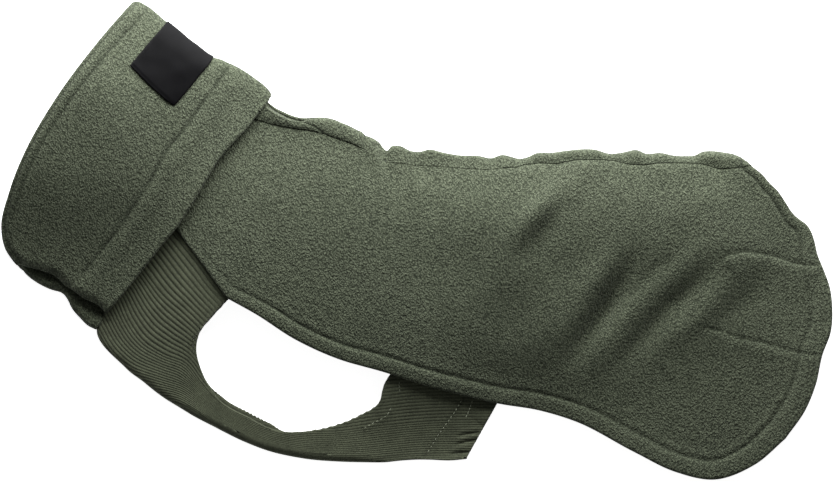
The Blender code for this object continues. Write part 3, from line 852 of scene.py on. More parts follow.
# %% Darts
Dart = namedtuple("Dart", "points depth roll")
DARTS = (
    Dart(points=((197, -16), (204, -9.5), (217.5, -7.3), (235.3, -9.9), (251.8, -15.2), (266, -16.5)),
         depth=0.8, roll=0.9),
    Dart(points=((184, -57), (198.3, -58.7), (213.5, -64), (228, -66.7), (250.5, -73.3), (266, -76.5)),
         depth=0.75, roll=0.6),
)
# The dart's line is also painted darker in colour: painted shade.
DART_LINE, DART_ROLL, DART_LINE_SHADE = 0.9, 5.0, 0.9        # width of the line, reach of the roll below it


def darts(x, y):
    """Relief of the darts, and the shade painted along their lines."""
    relief, groove_shade = np.zeros(np.shape(x)), np.zeros(np.shape(x))
    for dart in DARTS:
        distance, share, side = nearest(smooth_path(dart.points, 3.0), x, y)
        fade = ramp(share, 0.0, 0.12) * ramp(1 - share, 0.0, 0.06)
        line = bump(distance, DART_LINE) * fade
        roll = np.where(side < 0, distance / DART_ROLL * np.exp(1 - distance / DART_ROLL), 0) * fade
        relief += dart.roll * roll - dart.depth * line
        groove_shade += DART_LINE_SHADE * line
    return relief, groove_shade


print("darts:", len(DARTS))

# %% [markdown]
# ## The back panels
#
# One folded sheet could make both back panels, but they are cut as two pieces and sewn together along
# the back, so each is its own sheet and they only meet there. Both span the same four edges. The cord in
# the casing gathers the cloth beside it, which runs out in short ripples.

# %% Edges and gathers
BODY_EDGES = (
    smooth_path(BACK_LINE),
    np.concatenate([smooth_path(FRONT_EDGE), smooth_path(FLANK_HEM)]),
    smooth_path(NECK_SEAM[:2]),
    smooth_path(TAIL_HEM),
)
BODY_LENGTH = 430.0         # of the panel, about, from the neck seam to the tail
Gather = namedtuple("Gather", "x lean reach height width")
GATHERS = [Gather(*row) for row in (
    (-31, 3, 16, 1.8, 4.5), (-22, 4, 19, -1.8, 4.0), (-12, 2, 14, 0.6, 4.0), (10, -3, 17, 0.5, 4.5),
    (33, -4, 15, 0.5, 4.0), (60, -6, 18, 0.6, 5.0), (84, -8, 20, 0.7, 4.5), (112, -6, 26, 1.5, 6.5),
    (131, -3, 16, -0.9, 4.0), (146, 3, 15, -0.8, 4.0), (163, 4, 20, 0.8, 5.5), (178, 6, 22, 0.9, 6.0),
    (193, 8, 18, -1.1, 4.0), (208, 6, 15, 0.6, 5.0),
)]


def gathers(x, y, distance):
    """Short ripples that run down from the drawcord casing, uneven in size and spacing."""
    relief = np.zeros(np.shape(x))
    for one in GATHERS:
        off = x - one.x - one.lean * distance / one.reach
        relief += one.height * bump(off, one.width) * np.exp(-((distance / one.reach) ** 2))
    return relief


print("gathers:", len(GATHERS))

# %% [markdown]
# Each panel rises from the shared fold: the left one to the upper layer, the right one down to the table.
# The rows across it are close together near the tail's rim.

# %% Heights and sections of the back panels
BODY_FOLD_HEIGHT, BODY_FOLD_REACH, BODY_SOFT = 6.2, 9.0, 0.35


def body_height(x, y, distance, side, relief=0.0):
    """Middle surface of a back panel; side is 1 on the left panel and -1 on the right one."""
    share = fold_share(distance, BODY_FOLD_REACH, BODY_SOFT if side > 0 else 0.0)
    start = BODY_FOLD_HEIGHT + side * GAP / 2 + over_collar(x, y) / 2
    flat = upper_height(x, y) if side > 0 else lower_fleece(x, y)
    return start + (flat + relief - start) * share


def body_sections(count, tuck=0.0):
    """Shares of the panel's length: even, and close together at the tail's rim."""
    even = np.linspace(0, 1 - (RIM[0] + tuck) / BODY_LENGTH, count)
    return np.concatenate([even, 1 - (np.array(RIM[1:]) + tuck) / BODY_LENGTH])


print("last sections of 10, as shares:", body_sections(10)[-6:].round(4))

# %% [markdown]
# The left panel is on top, so it gets a fine mesh, with its hem, its darts and its gathers in it.

# %% Left back panel
def left_relief(x, y, distance):
    """Relief of the left panel, its thickness and its groove value."""
    relief, thickness, groove, inside = hem(x, y)
    dart_relief, groove_shade = darts(x, y)
    relief = relief + dart_relief + (HEM - FLEECE) / 2 * inside + gathers(x, y, distance)
    return relief, thickness, groove + groove_shade


def body_left():
    x, y, distance = panel(BODY_EDGES, body_sections(262), BODY_FOLD_REACH, turns=9, flats=138)
    relief, thickness, groove = left_relief(x, y, distance)
    grid = np.dstack([x, y, body_height(x, y, distance, 1, relief)])
    return make_sheet("body_left", grid, thickness, fleece, "fleece", ["back_left"], groove=groove)


left_body = body_left()

# %% [markdown]
# The right panel lies under the left one, a little smaller, so that its edge doesn't peep out. The weight
# of the upper layers presses it flat, so little is left of its hem's relief, and its mesh is coarse.

# %% Right back panel
TUCK = 1.6                  # how much smaller the right panel is along its free edge
HIDDEN_RELIEF = 0.2         # share of the hem's relief that is left on the panel that is lain on


def body_right():
    sections = body_sections(110, TUCK)
    x, y, distance = panel(BODY_EDGES, sections, BODY_FOLD_REACH, turns=7, flats=44, tuck=TUCK)
    relief, _, groove, inside = hem(x, y)
    free, _, _ = nearest(FREE_EDGE, x, y)
    clear_of_collar = past_collar(x, y) > COLLAR_SLOPE[1]
    thickness = rounded(FLEECE + (HEM - FLEECE) * inside * clear_of_collar, free - TUCK)
    lift = np.maximum((thickness - FLEECE) / 2, 0) + HIDDEN_RELIEF * np.maximum(relief, 0)
    grid = np.dstack([x, y, body_height(x, y, distance, -1, lift)])[:, ::-1]
    return make_sheet("body_right", grid, thickness[:, ::-1], fleece, "fleece", ["back_right"],
                      groove=groove[:, ::-1])


right_body = body_right()

# %% [markdown]
# ## The drawcord casing
#
# A strip of fleece is stitched over the centre back with a cord inside, and the cord gathers it into
# puffs. A noise could make puffs, but their uneven row is part of the outline, so a table places them.
# Near the slit the strip lies on top of the fold; over the rump it rolls onto the left side, so that its
# seam shows.

# %% Puffs and seam of the casing
Puff = namedtuple("Puff", "x stand")
PUFFS = [Puff(*row) for row in (
    (-21, 4.1), (-17, 5.6), (-11, 6.4), (-4, 3.8), (1, 3.5), (9, 5.6), (17, 4.5), (27, 3.9), (41, 4.9),
    (49, 3.9), (56, 6.1), (69, 3.4), (74, 4.1), (79, 6.0), (90, 5.1), (99, 5.9), (108, 6.5), (119, 6.1),
    (125, 4.3), (137, 4.8), (145, 6.7), (151, 4.8), (161, 5.6), (170, 3.8), (184, 3.7), (189, 5.7),
    (195, 6.3), (203, 5.7), (210, 5.0), (216, 3.6), (221, 2.6),
)]
SEAM_LINE = (
    (-30, 51), (0, 48), (45, 45), (64, 47), (72, 49.5), (80.2, 50.0), (90.5, 49.2), (98.7, 51.1),
    (109.2, 53.2), (119, 53.2), (126.4, 52.2), (137.6, 48.5), (147.5, 48.2), (156, 49.6), (167.3, 50),
    (185, 49.3), (190.4, 46.2), (196.4, 45.1), (207.6, 46.4), (216.8, 47.8), (224, 48.2),
)
print("puffs:", len(PUFFS))

# %% [markdown]
# What is sewn on the body is made from the body's own surface, moved out, so that the two can't cross.
# The strip starts from the fold: it has a leg on the left side and a short tuck on the right.

# %% The surface under the casing
CASING_TUCK = 1.2                   # how far it goes round the fold onto the right side
BACK_LENGTH = 353.0                 # of the back line, about


def covered(x, y, distance, side):
    """The body's middle surface with its relief, for what is sewn on it."""
    return body_height(x, y, distance, side, left_relief(x, y, distance)[0] if side > 0 else 0.0)


def from_ends(s, length):
    """Distance from the nearer end of a strip: s holds shares of a line that is length long."""
    return np.minimum(s - s[0], s[-1] - s)[:, None] * length


def casing_base(s, leg, last_row):
    """The body's own surface under the casing, from leg on the left side to the tuck on the right.

    Also the share of the way from the fold to the seam at each point, negative on the right side. The
    last row before the seam is close to it: last_row is its distance, as a share of the leg.
    """
    halves, ways = [], []
    for side, reach in ((1, leg), (-1, np.full(s.shape, CASING_TUCK))):
        even = np.linspace(0, 1, 15)[:-1] ** 1.4
        steps = np.hstack([even * (1 - last_row), 1 - last_row * [[1, 0]]])
        x, y, distance = on_panel(BODY_EDGES, s, reach[:, None] * steps)
        halves.append(np.dstack([x, y, covered(x, y, distance, side)]))
        ways.append(side * distance / reach[:, None])
    return joined(*halves), joined(*ways)

# %% [markdown]
# At the seam the casing is thin and lies flat on the body, and on the fold it stands out as far as each
# puff or gather does. Where it lies flat the puffs are pulled out level with the cloth; where it is rolled
# over they stand up from it as well.

# %% Casing
CASING_SPAN = (0.321, 0.997)        # where it starts and ends, as shares of the back line
ROLLS_FROM, ROLLS_TO = 52, 74       # x up to which it lies on the fold, and from which it is rolled over
END_SLOPE, CROWN_SLOPE = 5.0, 4.0   # how far from an end it has its full thickness, and its full puffs
CASING_GAP = 0.04
SHORTEST_LEG, FULL_LEG = 3.0, 6.0   # from fold to seam, at least, and where the full thickness is reached
RAISED = 0.6                        # share of a puff that stands up where the casing is rolled over
# Painted shade: the colour is darker along the seam, where it shows.
CASING_SEAM_SHADE, SEAM_WIDTH, SEAM_SHOWS = 0.9, 0.7, (60, 80)    # and x over which the seam begins to show


def casing():
    s = np.linspace(*CASING_SPAN, 300)
    spine = along(BODY_EDGES[0], s)
    seam = np.interp(spine[:, 0], *np.array(SEAM_LINE).T)
    leg = np.maximum(spine[:, 1] - seam, SHORTEST_LEG)
    rolled = ramp(spine[:, :1], ROLLS_FROM, ROLLS_TO)
    grid, way = casing_base(s, leg, last_row=0.01 + 0.06 * rolled)
    leg = leg[:, None]
    ends = from_ends(s, BACK_LENGTH)
    from_seam = np.where(way > 0, (1 - way) * leg, leg)
    rise = np.clip(from_seam / np.maximum(leg, FULL_LEG), 0, 1) * np.clip(ends / END_SLOPE, 0, 1)
    thin, thick = 0.05 + 0.2 * rolled, CASING * (0.3 + 0.7 * rolled)
    thickness = thin + (thick - thin) * rise ** (1.6 - 0.6 * rolled)
    under = np.maximum(hem(grid[..., 0], grid[..., 1])[1], FLEECE) / 2
    stand = np.interp(spine[:, 0], *smooth_path(PUFFS, 1.0).T)[:, None]
    puff = np.maximum(stand - FLEECE / 2 - CASING, 0)
    raised = RAISED * rolled
    crown = np.cos(np.pi / 2 * np.clip(way, 0, 1)) ** 3 * ramp(ends, 0, CROWN_SLOPE)
    pulled = ((1 - raised) * puff + CASING - thick) * (1 - np.clip(way, 0, 1)) * ramp(ends, 0, CROWN_SLOPE)
    grid = moved_out(grid, under + thickness / 2 + CASING_GAP + raised * puff * crown)
    grid[..., 1] += pulled
    grid[..., 2] = np.maximum(grid[..., 2], thickness / 2 + 0.1)
    # painted shade along the seam, where it shows
    groove = CASING_SEAM_SHADE * bump(from_seam, SEAM_WIDTH) * ramp(spine[:, :1], *SEAM_SHOWS)
    return make_sheet("drawcord_casing", grid, thickness, fleece, "fleece", ["spine_casing"], groove=groove)


spine = casing()

# %% [markdown]
# ## The leash slit
#
# Behind the collar the centre back seam is left open for a leash. Two welts, folded strips of fleece,
# finish its lips. The left one is on top: a puffed roll along the slit, a narrow strip below it, and a
# seam where it is stitched flat to the body.

# %% Welts
WELT_SPAN = (0.045, 0.272)          # where the slit starts and ends, as shares of the back line
WELT_SEAM = smooth_path((
    (-112, 80), (-105.5, 78.7), (-93, 75.5), (-80.2, 73.3), (-67, 71.1), (-57, 67.3), (-47, 64), (-39, 60.6),
))
SLIT_LINE = smooth_path(((-80, 80), (-73, 77.3), (-67.6, 75.2), (-58.4, 69), (-50.5, 66), (-41, 62.5)), 2.0)
WeltShape = namedtuple("WeltShape", "rows full_leg end_slope")
WELT_SHAPES = {1: WeltShape(26, 7.0, 3.0), -1: WeltShape(7, 1.0, 22.0)}
LEG_LIMITS = 4.0, 20.0              # of its width from the fold to its seam
WELT_RIM, WELT_GAP = 0.16, 0.05
HEAD_LIFT, HEAD_FROM = 0.4, (98, 108)       # it lifts off the body a little more beside the collar
# The slit line and the welt's seam are painted darker in colour: painted shade.
SLIT_WIDTH, SLIT_DEPTH, SLIT_SHADE = 0.8, 0.7, 0.8
WELT_PUFF, WELT_SEAM_SHADE, WELT_SEAM_WIDTH = 0.6, 0.4, 0.6


def welt(name, side, node):
    shape = WELT_SHAPES[side]
    s = np.linspace(*WELT_SPAN, 110)
    spine = along(BODY_EDGES[0], s)
    drop, _, _ = nearest(WELT_SEAM, spine[:, 0], spine[:, 1])
    leg = np.clip(drop, *LEG_LIMITS)[:, None] if side > 0 else np.full((len(s), 1), CASING_TUCK)
    x, y, distance = on_panel(BODY_EDGES, s, leg * np.linspace(0, 1, shape.rows) ** 1.2)
    grid = np.dstack([x, y, covered(x, y, distance, side)])
    if side > 0:
        grid, distance, x, y = [np.flip(one, axis=1) for one in (grid, distance, x, y)]
    from_seam, ends = leg - distance, from_ends(s, BACK_LENGTH)
    rise = np.clip(from_seam / np.maximum(leg, shape.full_leg), 0, 1) * np.clip(ends / shape.end_slope, 0, 1)
    thickness = WELT_RIM + (CASING - 0.1) * rise
    out = FLEECE / 2 + thickness / 2 + WELT_GAP + HEAD_LIFT * ramp(-x, *HEAD_FROM)
    groove = np.zeros(x.shape)
    if side > 0:
        to_slit, slit_share, _ = nearest(SLIT_LINE, x, y)
        line = bump(to_slit, SLIT_WIDTH) * ramp(slit_share, 0.0, 0.15)
        puff = WELT_PUFF * np.sin(np.pi * np.clip(from_seam / leg, 0, 1)) ** 1.5
        out = out + (puff - SLIT_DEPTH * line) * np.minimum(ends / 4, 1)
        # painted shade along the slit and along the welt's seam
        groove = SLIT_SHADE * line + WELT_SEAM_SHADE * bump(from_seam, WELT_SEAM_WIDTH)
    return make_sheet(name, moved_out(grid, out), thickness, fleece, "fleece", [node], groove=groove)


welts = [welt("welt_left", 1, "slit_welt_left"), welt("welt_right", -1, "slit_welt_right")]

# %% [markdown]
# ## The collar
#
# The collar is a double tube. Laid flat, a tube is two halves that share a fold, so it is drawn like the
# body and not spun round an axis. Its outer layer is turned down at the head edge, and its lower part is a
# wide hem, the band, whose stitching makes the long line from the back to the throat. The head edge has
# a rolled line close to its rim and a topstitch further in. The outer layer curls over at the head edge,
# so that it covers the edge of the inner layer.

# %% Collar outlines as edges, and its lines
BAND = 3.3              # thickness of the band: a hem too, pressed by its stitches
COLLAR_LEFT = (
    smooth_path(COLLAR_TOP), smooth_path(LEFT_LIP), smooth_path(HEAD_EDGE), smooth_path(TURNED_EDGE)
)
COLLAR_RIGHT = (
    smooth_path(COLLAR_TOP), smooth_path(RIGHT_LIP), smooth_path(HEAD_EDGE),
    smooth_path(TURNED_EDGE[:-1] + RIGHT_LIP[-1:]),
)
BAND_LINE = smooth_path((
    (-125.3, 113.5), (-131, 104.3), (-141.8, 89.8), (-150.8, 76.6), (-164, 60.1), (-175.9, 39.1),
    (-183.8, 27.1), (-194.6, 10.6), (-205.6, -3.8), (-215.5, -15.8), (-222, -24),
), 3.0)
HEAD_PATH, TURNED_PATH = smooth_path(HEAD_EDGE, 3.0), smooth_path(TURNED_EDGE, 3.0)
HEAD_CURL = 3.4                     # how far the outer layer curls over at the head edge
TOPSTITCH = (0, 0.5, 1), (10.8, 8.3, 5.8)       # its distance from the head edge, along that edge
ROLLED_LINE = 2.6                   # the same for the rolled line
# The tone of a stitching is shade painted into the colour along its line.
Stitching = namedtuple("Stitching", "width depth tone")
BAND_STITCH, TOP_STITCH = Stitching(1.3, 1.2, 1.8), Stitching(1.1, 1.0, 0.9)
ROLLED_STITCH = Stitching(0.8, 0.8, 0.8)


def collar_lines(x, y):
    """Relief, thickness and painted groove shade of the collar's left side."""
    to_band, share, side = nearest(BAND_LINE, x, y)
    band = ramp(side * to_band, -1.0, 7.0)
    uneven = 0.7 + 0.3 * np.sin(share * 40)
    band_groove = bump(to_band, BAND_STITCH.width) * ramp(1 - share, 0.0, 0.05) * uneven
    to_head, head_share, _ = nearest(HEAD_PATH, x, y)
    topstitch = bump(to_head - np.interp(head_share, *TOPSTITCH), TOP_STITCH.width)
    topstitch = topstitch * ramp(1 - head_share, 0.05, 0.25)
    rolled = bump(to_head - ROLLED_LINE, ROLLED_STITCH.width)
    relief = (BAND - FLEECE) / 2 * band - BAND_STITCH.depth * band_groove
    relief = relief - TOP_STITCH.depth * topstitch - ROLLED_STITCH.depth * rolled
    relief = relief + 0.5 * band * bump(to_band - 8, 5.0) + 0.4 * bump(to_head - 6, 2.2)
    # painted shade along the stitched lines
    groove = BAND_STITCH.tone * band_groove + TOP_STITCH.tone * topstitch + ROLLED_STITCH.tone * rolled
    return relief, FLEECE + (BAND - FLEECE) * band, groove


print("stitching of the band, mm:", round(run_along(BAND_LINE)[-1]))

# %% [markdown]
# The turned-down layer is longer round than the one under it, so it stands off it and springs up between
# the fold and the turned edge. At the head edge it curls over.

# %% Height of the outer layer
COLLAR_FOLD_HEIGHT, COLLAR_FOLD_REACH, COLLAR_SOFT = 6.9, 12.0, 0.4
COLLAR_CROWN = 9.2                          # how much it stands off the inner layer in its middle
LOOSE_AT_EDGE, LOOSENS = 0.25, (4, 62)      # share of the crown at the turned edge, and where it grows
CROWN_SPAN, CROWN_SKEW = 190, 0.7           # its reach down from the fold; it is fullest in its upper half


def collar_height(x, y, distance, side, relief=0.0):
    """Middle surface of the collar's outer layer."""
    share = fold_share(distance, COLLAR_FOLD_REACH, COLLAR_SOFT if side > 0 else 0.0)
    loose = LOOSE_AT_EDGE + (1 - LOOSE_AT_EDGE) * ramp(nearest(TURNED_PATH, x, y)[0], *LOOSENS)
    crown = COLLAR_CROWN * np.sin(np.pi * np.clip(distance / CROWN_SPAN, 0, 1) ** CROWN_SKEW) * loose
    flat = upper_height(x, y) + FLEECE + 1.6 * GAP + crown + relief if side > 0 else FLEECE / 2 + relief
    to_head, _, _ = nearest(HEAD_PATH, x, y)
    curl = HEAD_CURL * (1 - quarter_round(to_head, HEAD_CURL))
    return COLLAR_FOLD_HEIGHT + (flat - side * curl - COLLAR_FOLD_HEIGHT) * share


print("crown of the collar, mm:", COLLAR_CROWN)

# %% [markdown]
# The outer layer is one sheet with its fold in the middle. Its two halves are made in turn, each from
# the fold outwards, and joined there, so that no seam shows on the fold.

# %% Outer layer
COLLAR_LENGTH = 118.0               # of the collar's top fold
COLLAR_START = (1.2, 1.35, 1.7, 2.2, 2.9, 3.8)  # the first sections, from the head edge, where it curls
COLLAR_SECTIONS = np.concatenate([
    np.array(COLLAR_START), np.linspace(5.0, COLLAR_LENGTH - RIM[0], 88), COLLAR_LENGTH - np.array(RIM[1:]),
]) / COLLAR_LENGTH


LIP_DROOP, DROOP_REACH = 1.8, 3.0
LIP_RISE, RISE_MIDDLE, RISE_IN, RISE_OUT = 6.0, 3.4, 7.0, 4.2       # its middle, and its reach on each side
LIP_STITCHES, LIP_STITCH_WIDTH, LIP_STITCH_DEPTH = (6.5, 8.7), 0.5, 0.4
LIP_FULLER = 0.8                    # how much thicker the cloth is at a lip


def lip_roll(x, y, side):
    """Relief of the rolled lips at the throat, and the distance from the lip's edge.

    The left lip droops, most at two places, and the right one turns up to meet it.
    """
    to_lip, share, _ = nearest(smooth_path(LEFT_LIP if side > 0 else RIGHT_LIP, 3.0), x, y)
    if side > 0:
        uneven = 1 + 0.7 * bump(share - 0.42, 0.1) + 0.5 * bump(share - 0.9, 0.15)
        return -LIP_DROOP * bump(to_lip, DROOP_REACH) * uneven, to_lip
    first, second = [bump(to_lip - at, LIP_STITCH_WIDTH) for at in LIP_STITCHES]
    stitched = (first + second) * ramp(share, 0.55, 0.7)
    reach = np.where(to_lip > RISE_MIDDLE, RISE_IN, RISE_OUT)
    return LIP_RISE * bump(to_lip - RISE_MIDDLE, reach) - LIP_STITCH_DEPTH * stitched, to_lip


def collar_outer():
    halves, walls, groove_shades = [], [], []
    for side, edges, flats in ((1, COLLAR_LEFT, 112), (-1, COLLAR_RIGHT, 64)):
        x, y, distance = panel(edges, COLLAR_SECTIONS, COLLAR_FOLD_REACH, turns=12, flats=flats)
        relief, thickness, groove = collar_lines(x, y) if side > 0 else (0 * x, FLEECE + 0 * x, 0 * x)
        roll, to_lip = lip_roll(x, y, side)
        to_turned, _, _ = nearest(smooth_path(edges[3], 3.0), x, y)
        halves.append(np.dstack([x, y, collar_height(x, y, distance, side, relief + roll)]))
        walls.append(rounded(thickness + LIP_FULLER * bump(to_lip, 4.0), np.minimum(to_lip, to_turned)))
        groove_shades.append(groove)
    return make_sheet("collar_turned_down", joined(*halves), joined(*walls), fleece, "fleece",
                      ["collar_outer"], groove=joined(*groove_shades))


outer_collar = collar_outer()

# %% [markdown]
# The inner layer is a plain tube. It joins the outer layer at the head edge and the body at the neck
# seam, and it is closed by a seam at the throat. It stays one thickness of cloth below the outer layer.

# %% Inner layer
INNER_FOLD_HEIGHT, INNER_FOLD_REACH, INNER_INSET = 7.2, 9.0, 4.2
THROAT_FOLD_HEIGHT, THROAT_FOLD_REACH = 6.9, 6.0
INNER_SPAN = (0.03, 0.74)           # part of the top fold's length that it reaches along
INNER_PAST_HEAD, INNER_PAST_SEAM = -3.0, 1.4 * GAP      # how far in it stays from those two edges


def collar_inner():
    top = along(inset(smooth_path(COLLAR_TOP), INNER_INSET), np.linspace(*INNER_SPAN, 60))
    head = inset(smooth_path((tuple(top[0]),) + HEAD_EDGE[1:-1] + THROAT[:1]), INNER_PAST_HEAD)
    seam = inset(smooth_path((tuple(top[-1]),) + NECK_SEAM[1:]), INNER_PAST_SEAM)
    edges = (top, smooth_path(THROAT), head, seam)
    s = np.linspace(0, 1, 50)
    lengths = np.linalg.norm(along(top, s) - along(edges[1], s), axis=1)
    near_throat = THROAT_FOLD_REACH * (1 - np.cos(np.linspace(np.pi / 2, 0, 9)[1:]))
    steps = []
    for length in lengths:
        from_top = fold_steps(INNER_FOLD_REACH, length - THROAT_FOLD_REACH, 8, 40)
        steps.append(np.concatenate([from_top, length - near_throat]))
    halves = []
    for side, soft in ((1, COLLAR_SOFT), (-1, 0.0)):
        x, y, distance = on_panel(edges, s, np.stack(steps))
        flat = upper_height(x, y) if side > 0 else lower_fleece(x, y)
        z = INNER_FOLD_HEIGHT + (flat - INNER_FOLD_HEIGHT) * fold_share(distance, INNER_FOLD_REACH, soft)
        if side > 0:
            outer = collar_height(x, y, nearest(COLLAR_LEFT[0], x, y)[0], 1)
            z = np.minimum(z, outer - FLEECE - GAP)
        throat = THROAT_FOLD_HEIGHT + side * GAP / 2
        z = throat + (z - throat) * fold_share(lengths[:, None] - np.stack(steps), THROAT_FOLD_REACH)
        halves.append(np.dstack([x, y, z]))
    grid = joined(*halves)
    return make_sheet("collar_inner_layer", grid, FLEECE, fleece, "fleece", ["collar_inner"],
                      groove=np.zeros(grid.shape[:2]))


inner_collar = collar_inner()

# %% [markdown]
# ## The neck label
#
# The label is a ribbon folded over the top of the collar and sewn down on the left side. A Shrinkwrap
# modifier could lay a strip on the collar. It is simpler to take the collar's own surface there and move
# it out, with a slight cushion in its middle.

# %% Label
LABEL_SPAN = (0.242, 0.588)                 # along the top fold of the collar
LABEL_DROPS, LABEL_TUCK = (34.8, 38.6), 2.0     # length of its two sides, and how far it goes past the fold
LABEL_GAP, LABEL_CUSHION, LABEL_WAVE = 0.3, 0.35, 0.3


def neck_label():
    s = np.linspace(*LABEL_SPAN, 48)
    halves, drops = [], []
    long_leg, tuck = np.interp(s, LABEL_SPAN, LABEL_DROPS), np.full(s.shape, LABEL_TUCK)
    for side, edges, leg, rows in ((1, COLLAR_LEFT, long_leg, 64), (-1, COLLAR_RIGHT, tuck, 8)):
        x, y, distance = on_panel(edges, s, leg[:, None] * np.linspace(0, 1, rows) ** 1.3)
        halves.append(np.dstack([x, y, collar_height(x, y, distance, side)]))
        drops.append(leg[:, None] - distance)
    grid = joined(*halves)
    from_side = from_ends(s, COLLAR_LENGTH)
    edge = np.minimum(joined(*drops), from_side)
    thickness = rounded(np.full(grid.shape[:2], LABEL), edge + 0.05)
    cushion = LABEL_CUSHION * np.sin(np.pi * np.clip(from_side / 36, 0, 1))
    wave = LABEL_WAVE * np.array([[noise.noise(Vector(spot) * 0.09) for spot in row] for row in grid])
    out = (FLEECE + LABEL) / 2 + LABEL_GAP + cushion + wave
    return make_sheet("neck_label_ribbon", moved_out(grid, out), thickness, satin, "satin", ["neck_label"])


label = neck_label()

# %% [markdown]
# ## The chest panel of rib knit
#
# The ribs run along the panel: parallel to the body's edge at the shoulder and parallel to the belly
# fold under the leg hole. Five guide lines follow ribs from the neck to the rear hem, with a known number
# of ribs between each two, so any spot's rib number comes from its distances to the guides beside it.
# Close to the body the knit is relaxed and its ribs are wide and deep; where it is stretched round the
# leg hole they are fine and nearly flat.

# %% Ribs
RibGuide = namedtuple("RibGuide", "ribs_below points")
RIB_GUIDES = (
    RibGuide(ribs_below=0, points=(
        (-235, -49), (-217, -72), (-201, -90), (-179, -102), (-156, -107), (-143, -114), (-120, -129),
        (-97, -139), (-70, -145), (-37, -148), (2, -146.5), (55, -146.5))),
    RibGuide(ribs_below=9, points=(
        (-223, -32), (-211, -55), (-201, -72), (-189, -82.5), (-169, -90), (-151.5, -96.5), (-141, -106),
        (-122, -121), (-98, -132), (-74, -137), (-41, -137), (2, -133), (55, -133))),
    RibGuide(ribs_below=9, points=(
        (-211, -14), (-197, -36), (-189, -53.5), (-181, -65), (-167, -74.5), (-152, -81), (-143.5, -92),
        (-132, -105.5), (-111, -117.5), (-87, -124.5), (-57, -126), (-24, -122), (9, -119), (55, -118))),
    RibGuide(ribs_below=10, points=(
        (-196, 4), (-179, -20.5), (-167, -36), (-154, -47.5), (-141, -60.5), (-126.5, -85), (-97, -103.5),
        (-64, -108), (-31, -101.5), (-4, -98), (22, -97), (58, -98))),
    RibGuide(ribs_below=9.4, points=(
        (-176, 24), (-159.5, 5), (-144, -14), (-129, -34), (-103, -52), (-64, -68.5), (-24, -75),
        (15.5, -73), (62, -73))),
)
BELOW_WIDTH, ABOVE_WIDTH = 1.8, 3.3      # of the ribs outside the first and the last guide


def wales(x, y):
    """The rib number at each place, counted up from the belly fold, and the local width of a rib."""
    found = [nearest(smooth_path(guide.points, 3.0), x, y) for guide in RIB_GUIDES]
    number, width, base = -found[0][0] / BELOW_WIDTH, np.full(np.shape(x), BELOW_WIDTH), 0.0
    for low, high, guide in zip(found[:-1], found[1:], RIB_GUIDES[1:]):
        above = low[2] > 0
        whole = low[0] + high[0]
        number = np.where(above, base + guide.ribs_below * low[0] / whole, number)
        width = np.where(above, whole / guide.ribs_below, width)
        base += guide.ribs_below
    above = found[-1][2] > 0
    return np.where(above, base + found[-1][0] / ABOVE_WIDTH, number), np.where(above, ABOVE_WIDTH, width)


print("ribs between the first and the last guide:", sum(guide.ribs_below for guide in RIB_GUIDES))

# %% [markdown]
# At its rear the panel is hemmed with stitches, which draw it into three short pleats. The table says how
# deep the ribs look along the panel: the strip below the leg hole is stretched nearly flat.

# %% Depth of the ribs, and the rear hem
Relaxed = namedtuple("Relaxed", "x depth")
STRETCH = [Relaxed(*row) for row in (
    (-155, 1.2), (-130, 0.45), (-50, 0.45), (-25, 0.75),
)]
REAR_STITCH = smooth_path(((33.5, -101), (26, -111.5), (18, -123), (10.6, -134.6), (5, -143)), 2.0)
REAR_PLEATS = [smooth_path(pleat, 2.0) for pleat in (
    ((23.4, -135.3), (31, -133), (39.3, -131.3)), ((25.4, -129.4), (33, -127.6), (40.5, -126.5)),
    ((20, -141.2), (28, -140), (35.3, -139.3)),
)]


def rear_hem(x, y):
    """Groove and relief of the rib's rear hem: its stitching, and the pleats between it and the edge. The
    groove also carries painted shade.
    """
    groove, relief = 0.5 * bump(nearest(REAR_STITCH, x, y)[0], 0.9), 0.0
    for pleat in REAR_PLEATS:
        away, share, _ = nearest(pleat, x, y)
        fade = ramp(share, 0.0, 0.4)
        groove = groove + 0.6 * bump(away, 0.8) * fade
        relief = relief - 0.35 * bump(away, 1.1) * fade + 0.2 * bump(away - 2.6, 1.3) * fade
    return groove, relief


print("rear hem, mm:", round(run_along(REAR_STITCH)[-1]), "pleats:", len(REAR_PLEATS))

# %% [markdown]
# The panel itself is lofted through its sections, from the belly fold up to its upper edge on both sides.
# The ridges are put into the upper side only, because nothing but the edge of the lower one shows.

# %% Chest panel
BELLY_FOLD_HEIGHT, BELLY_FOLD_REACH = 3.3, 4.0
RIB_RIM = (0.9, 0.45, 0.15, 0.0)        # rows near its upper edge, in millimetres from it
RIB_RELIEF, RIB_GROOVE = 0.38, 0.4
SAG, SAG_Y, SAG_X = 2.6, (92, 142), (-50, -10)      # the loose rear part lies lower, towards its fold
UPPER_WAVE, LOWER_WAVE = 5.2, 2.8       # length of the small waves of its edge on the two sides
RIM_WAVE, LOWER_OUT = 0.9, 2.4          # their height, and how far the lower side peeps out


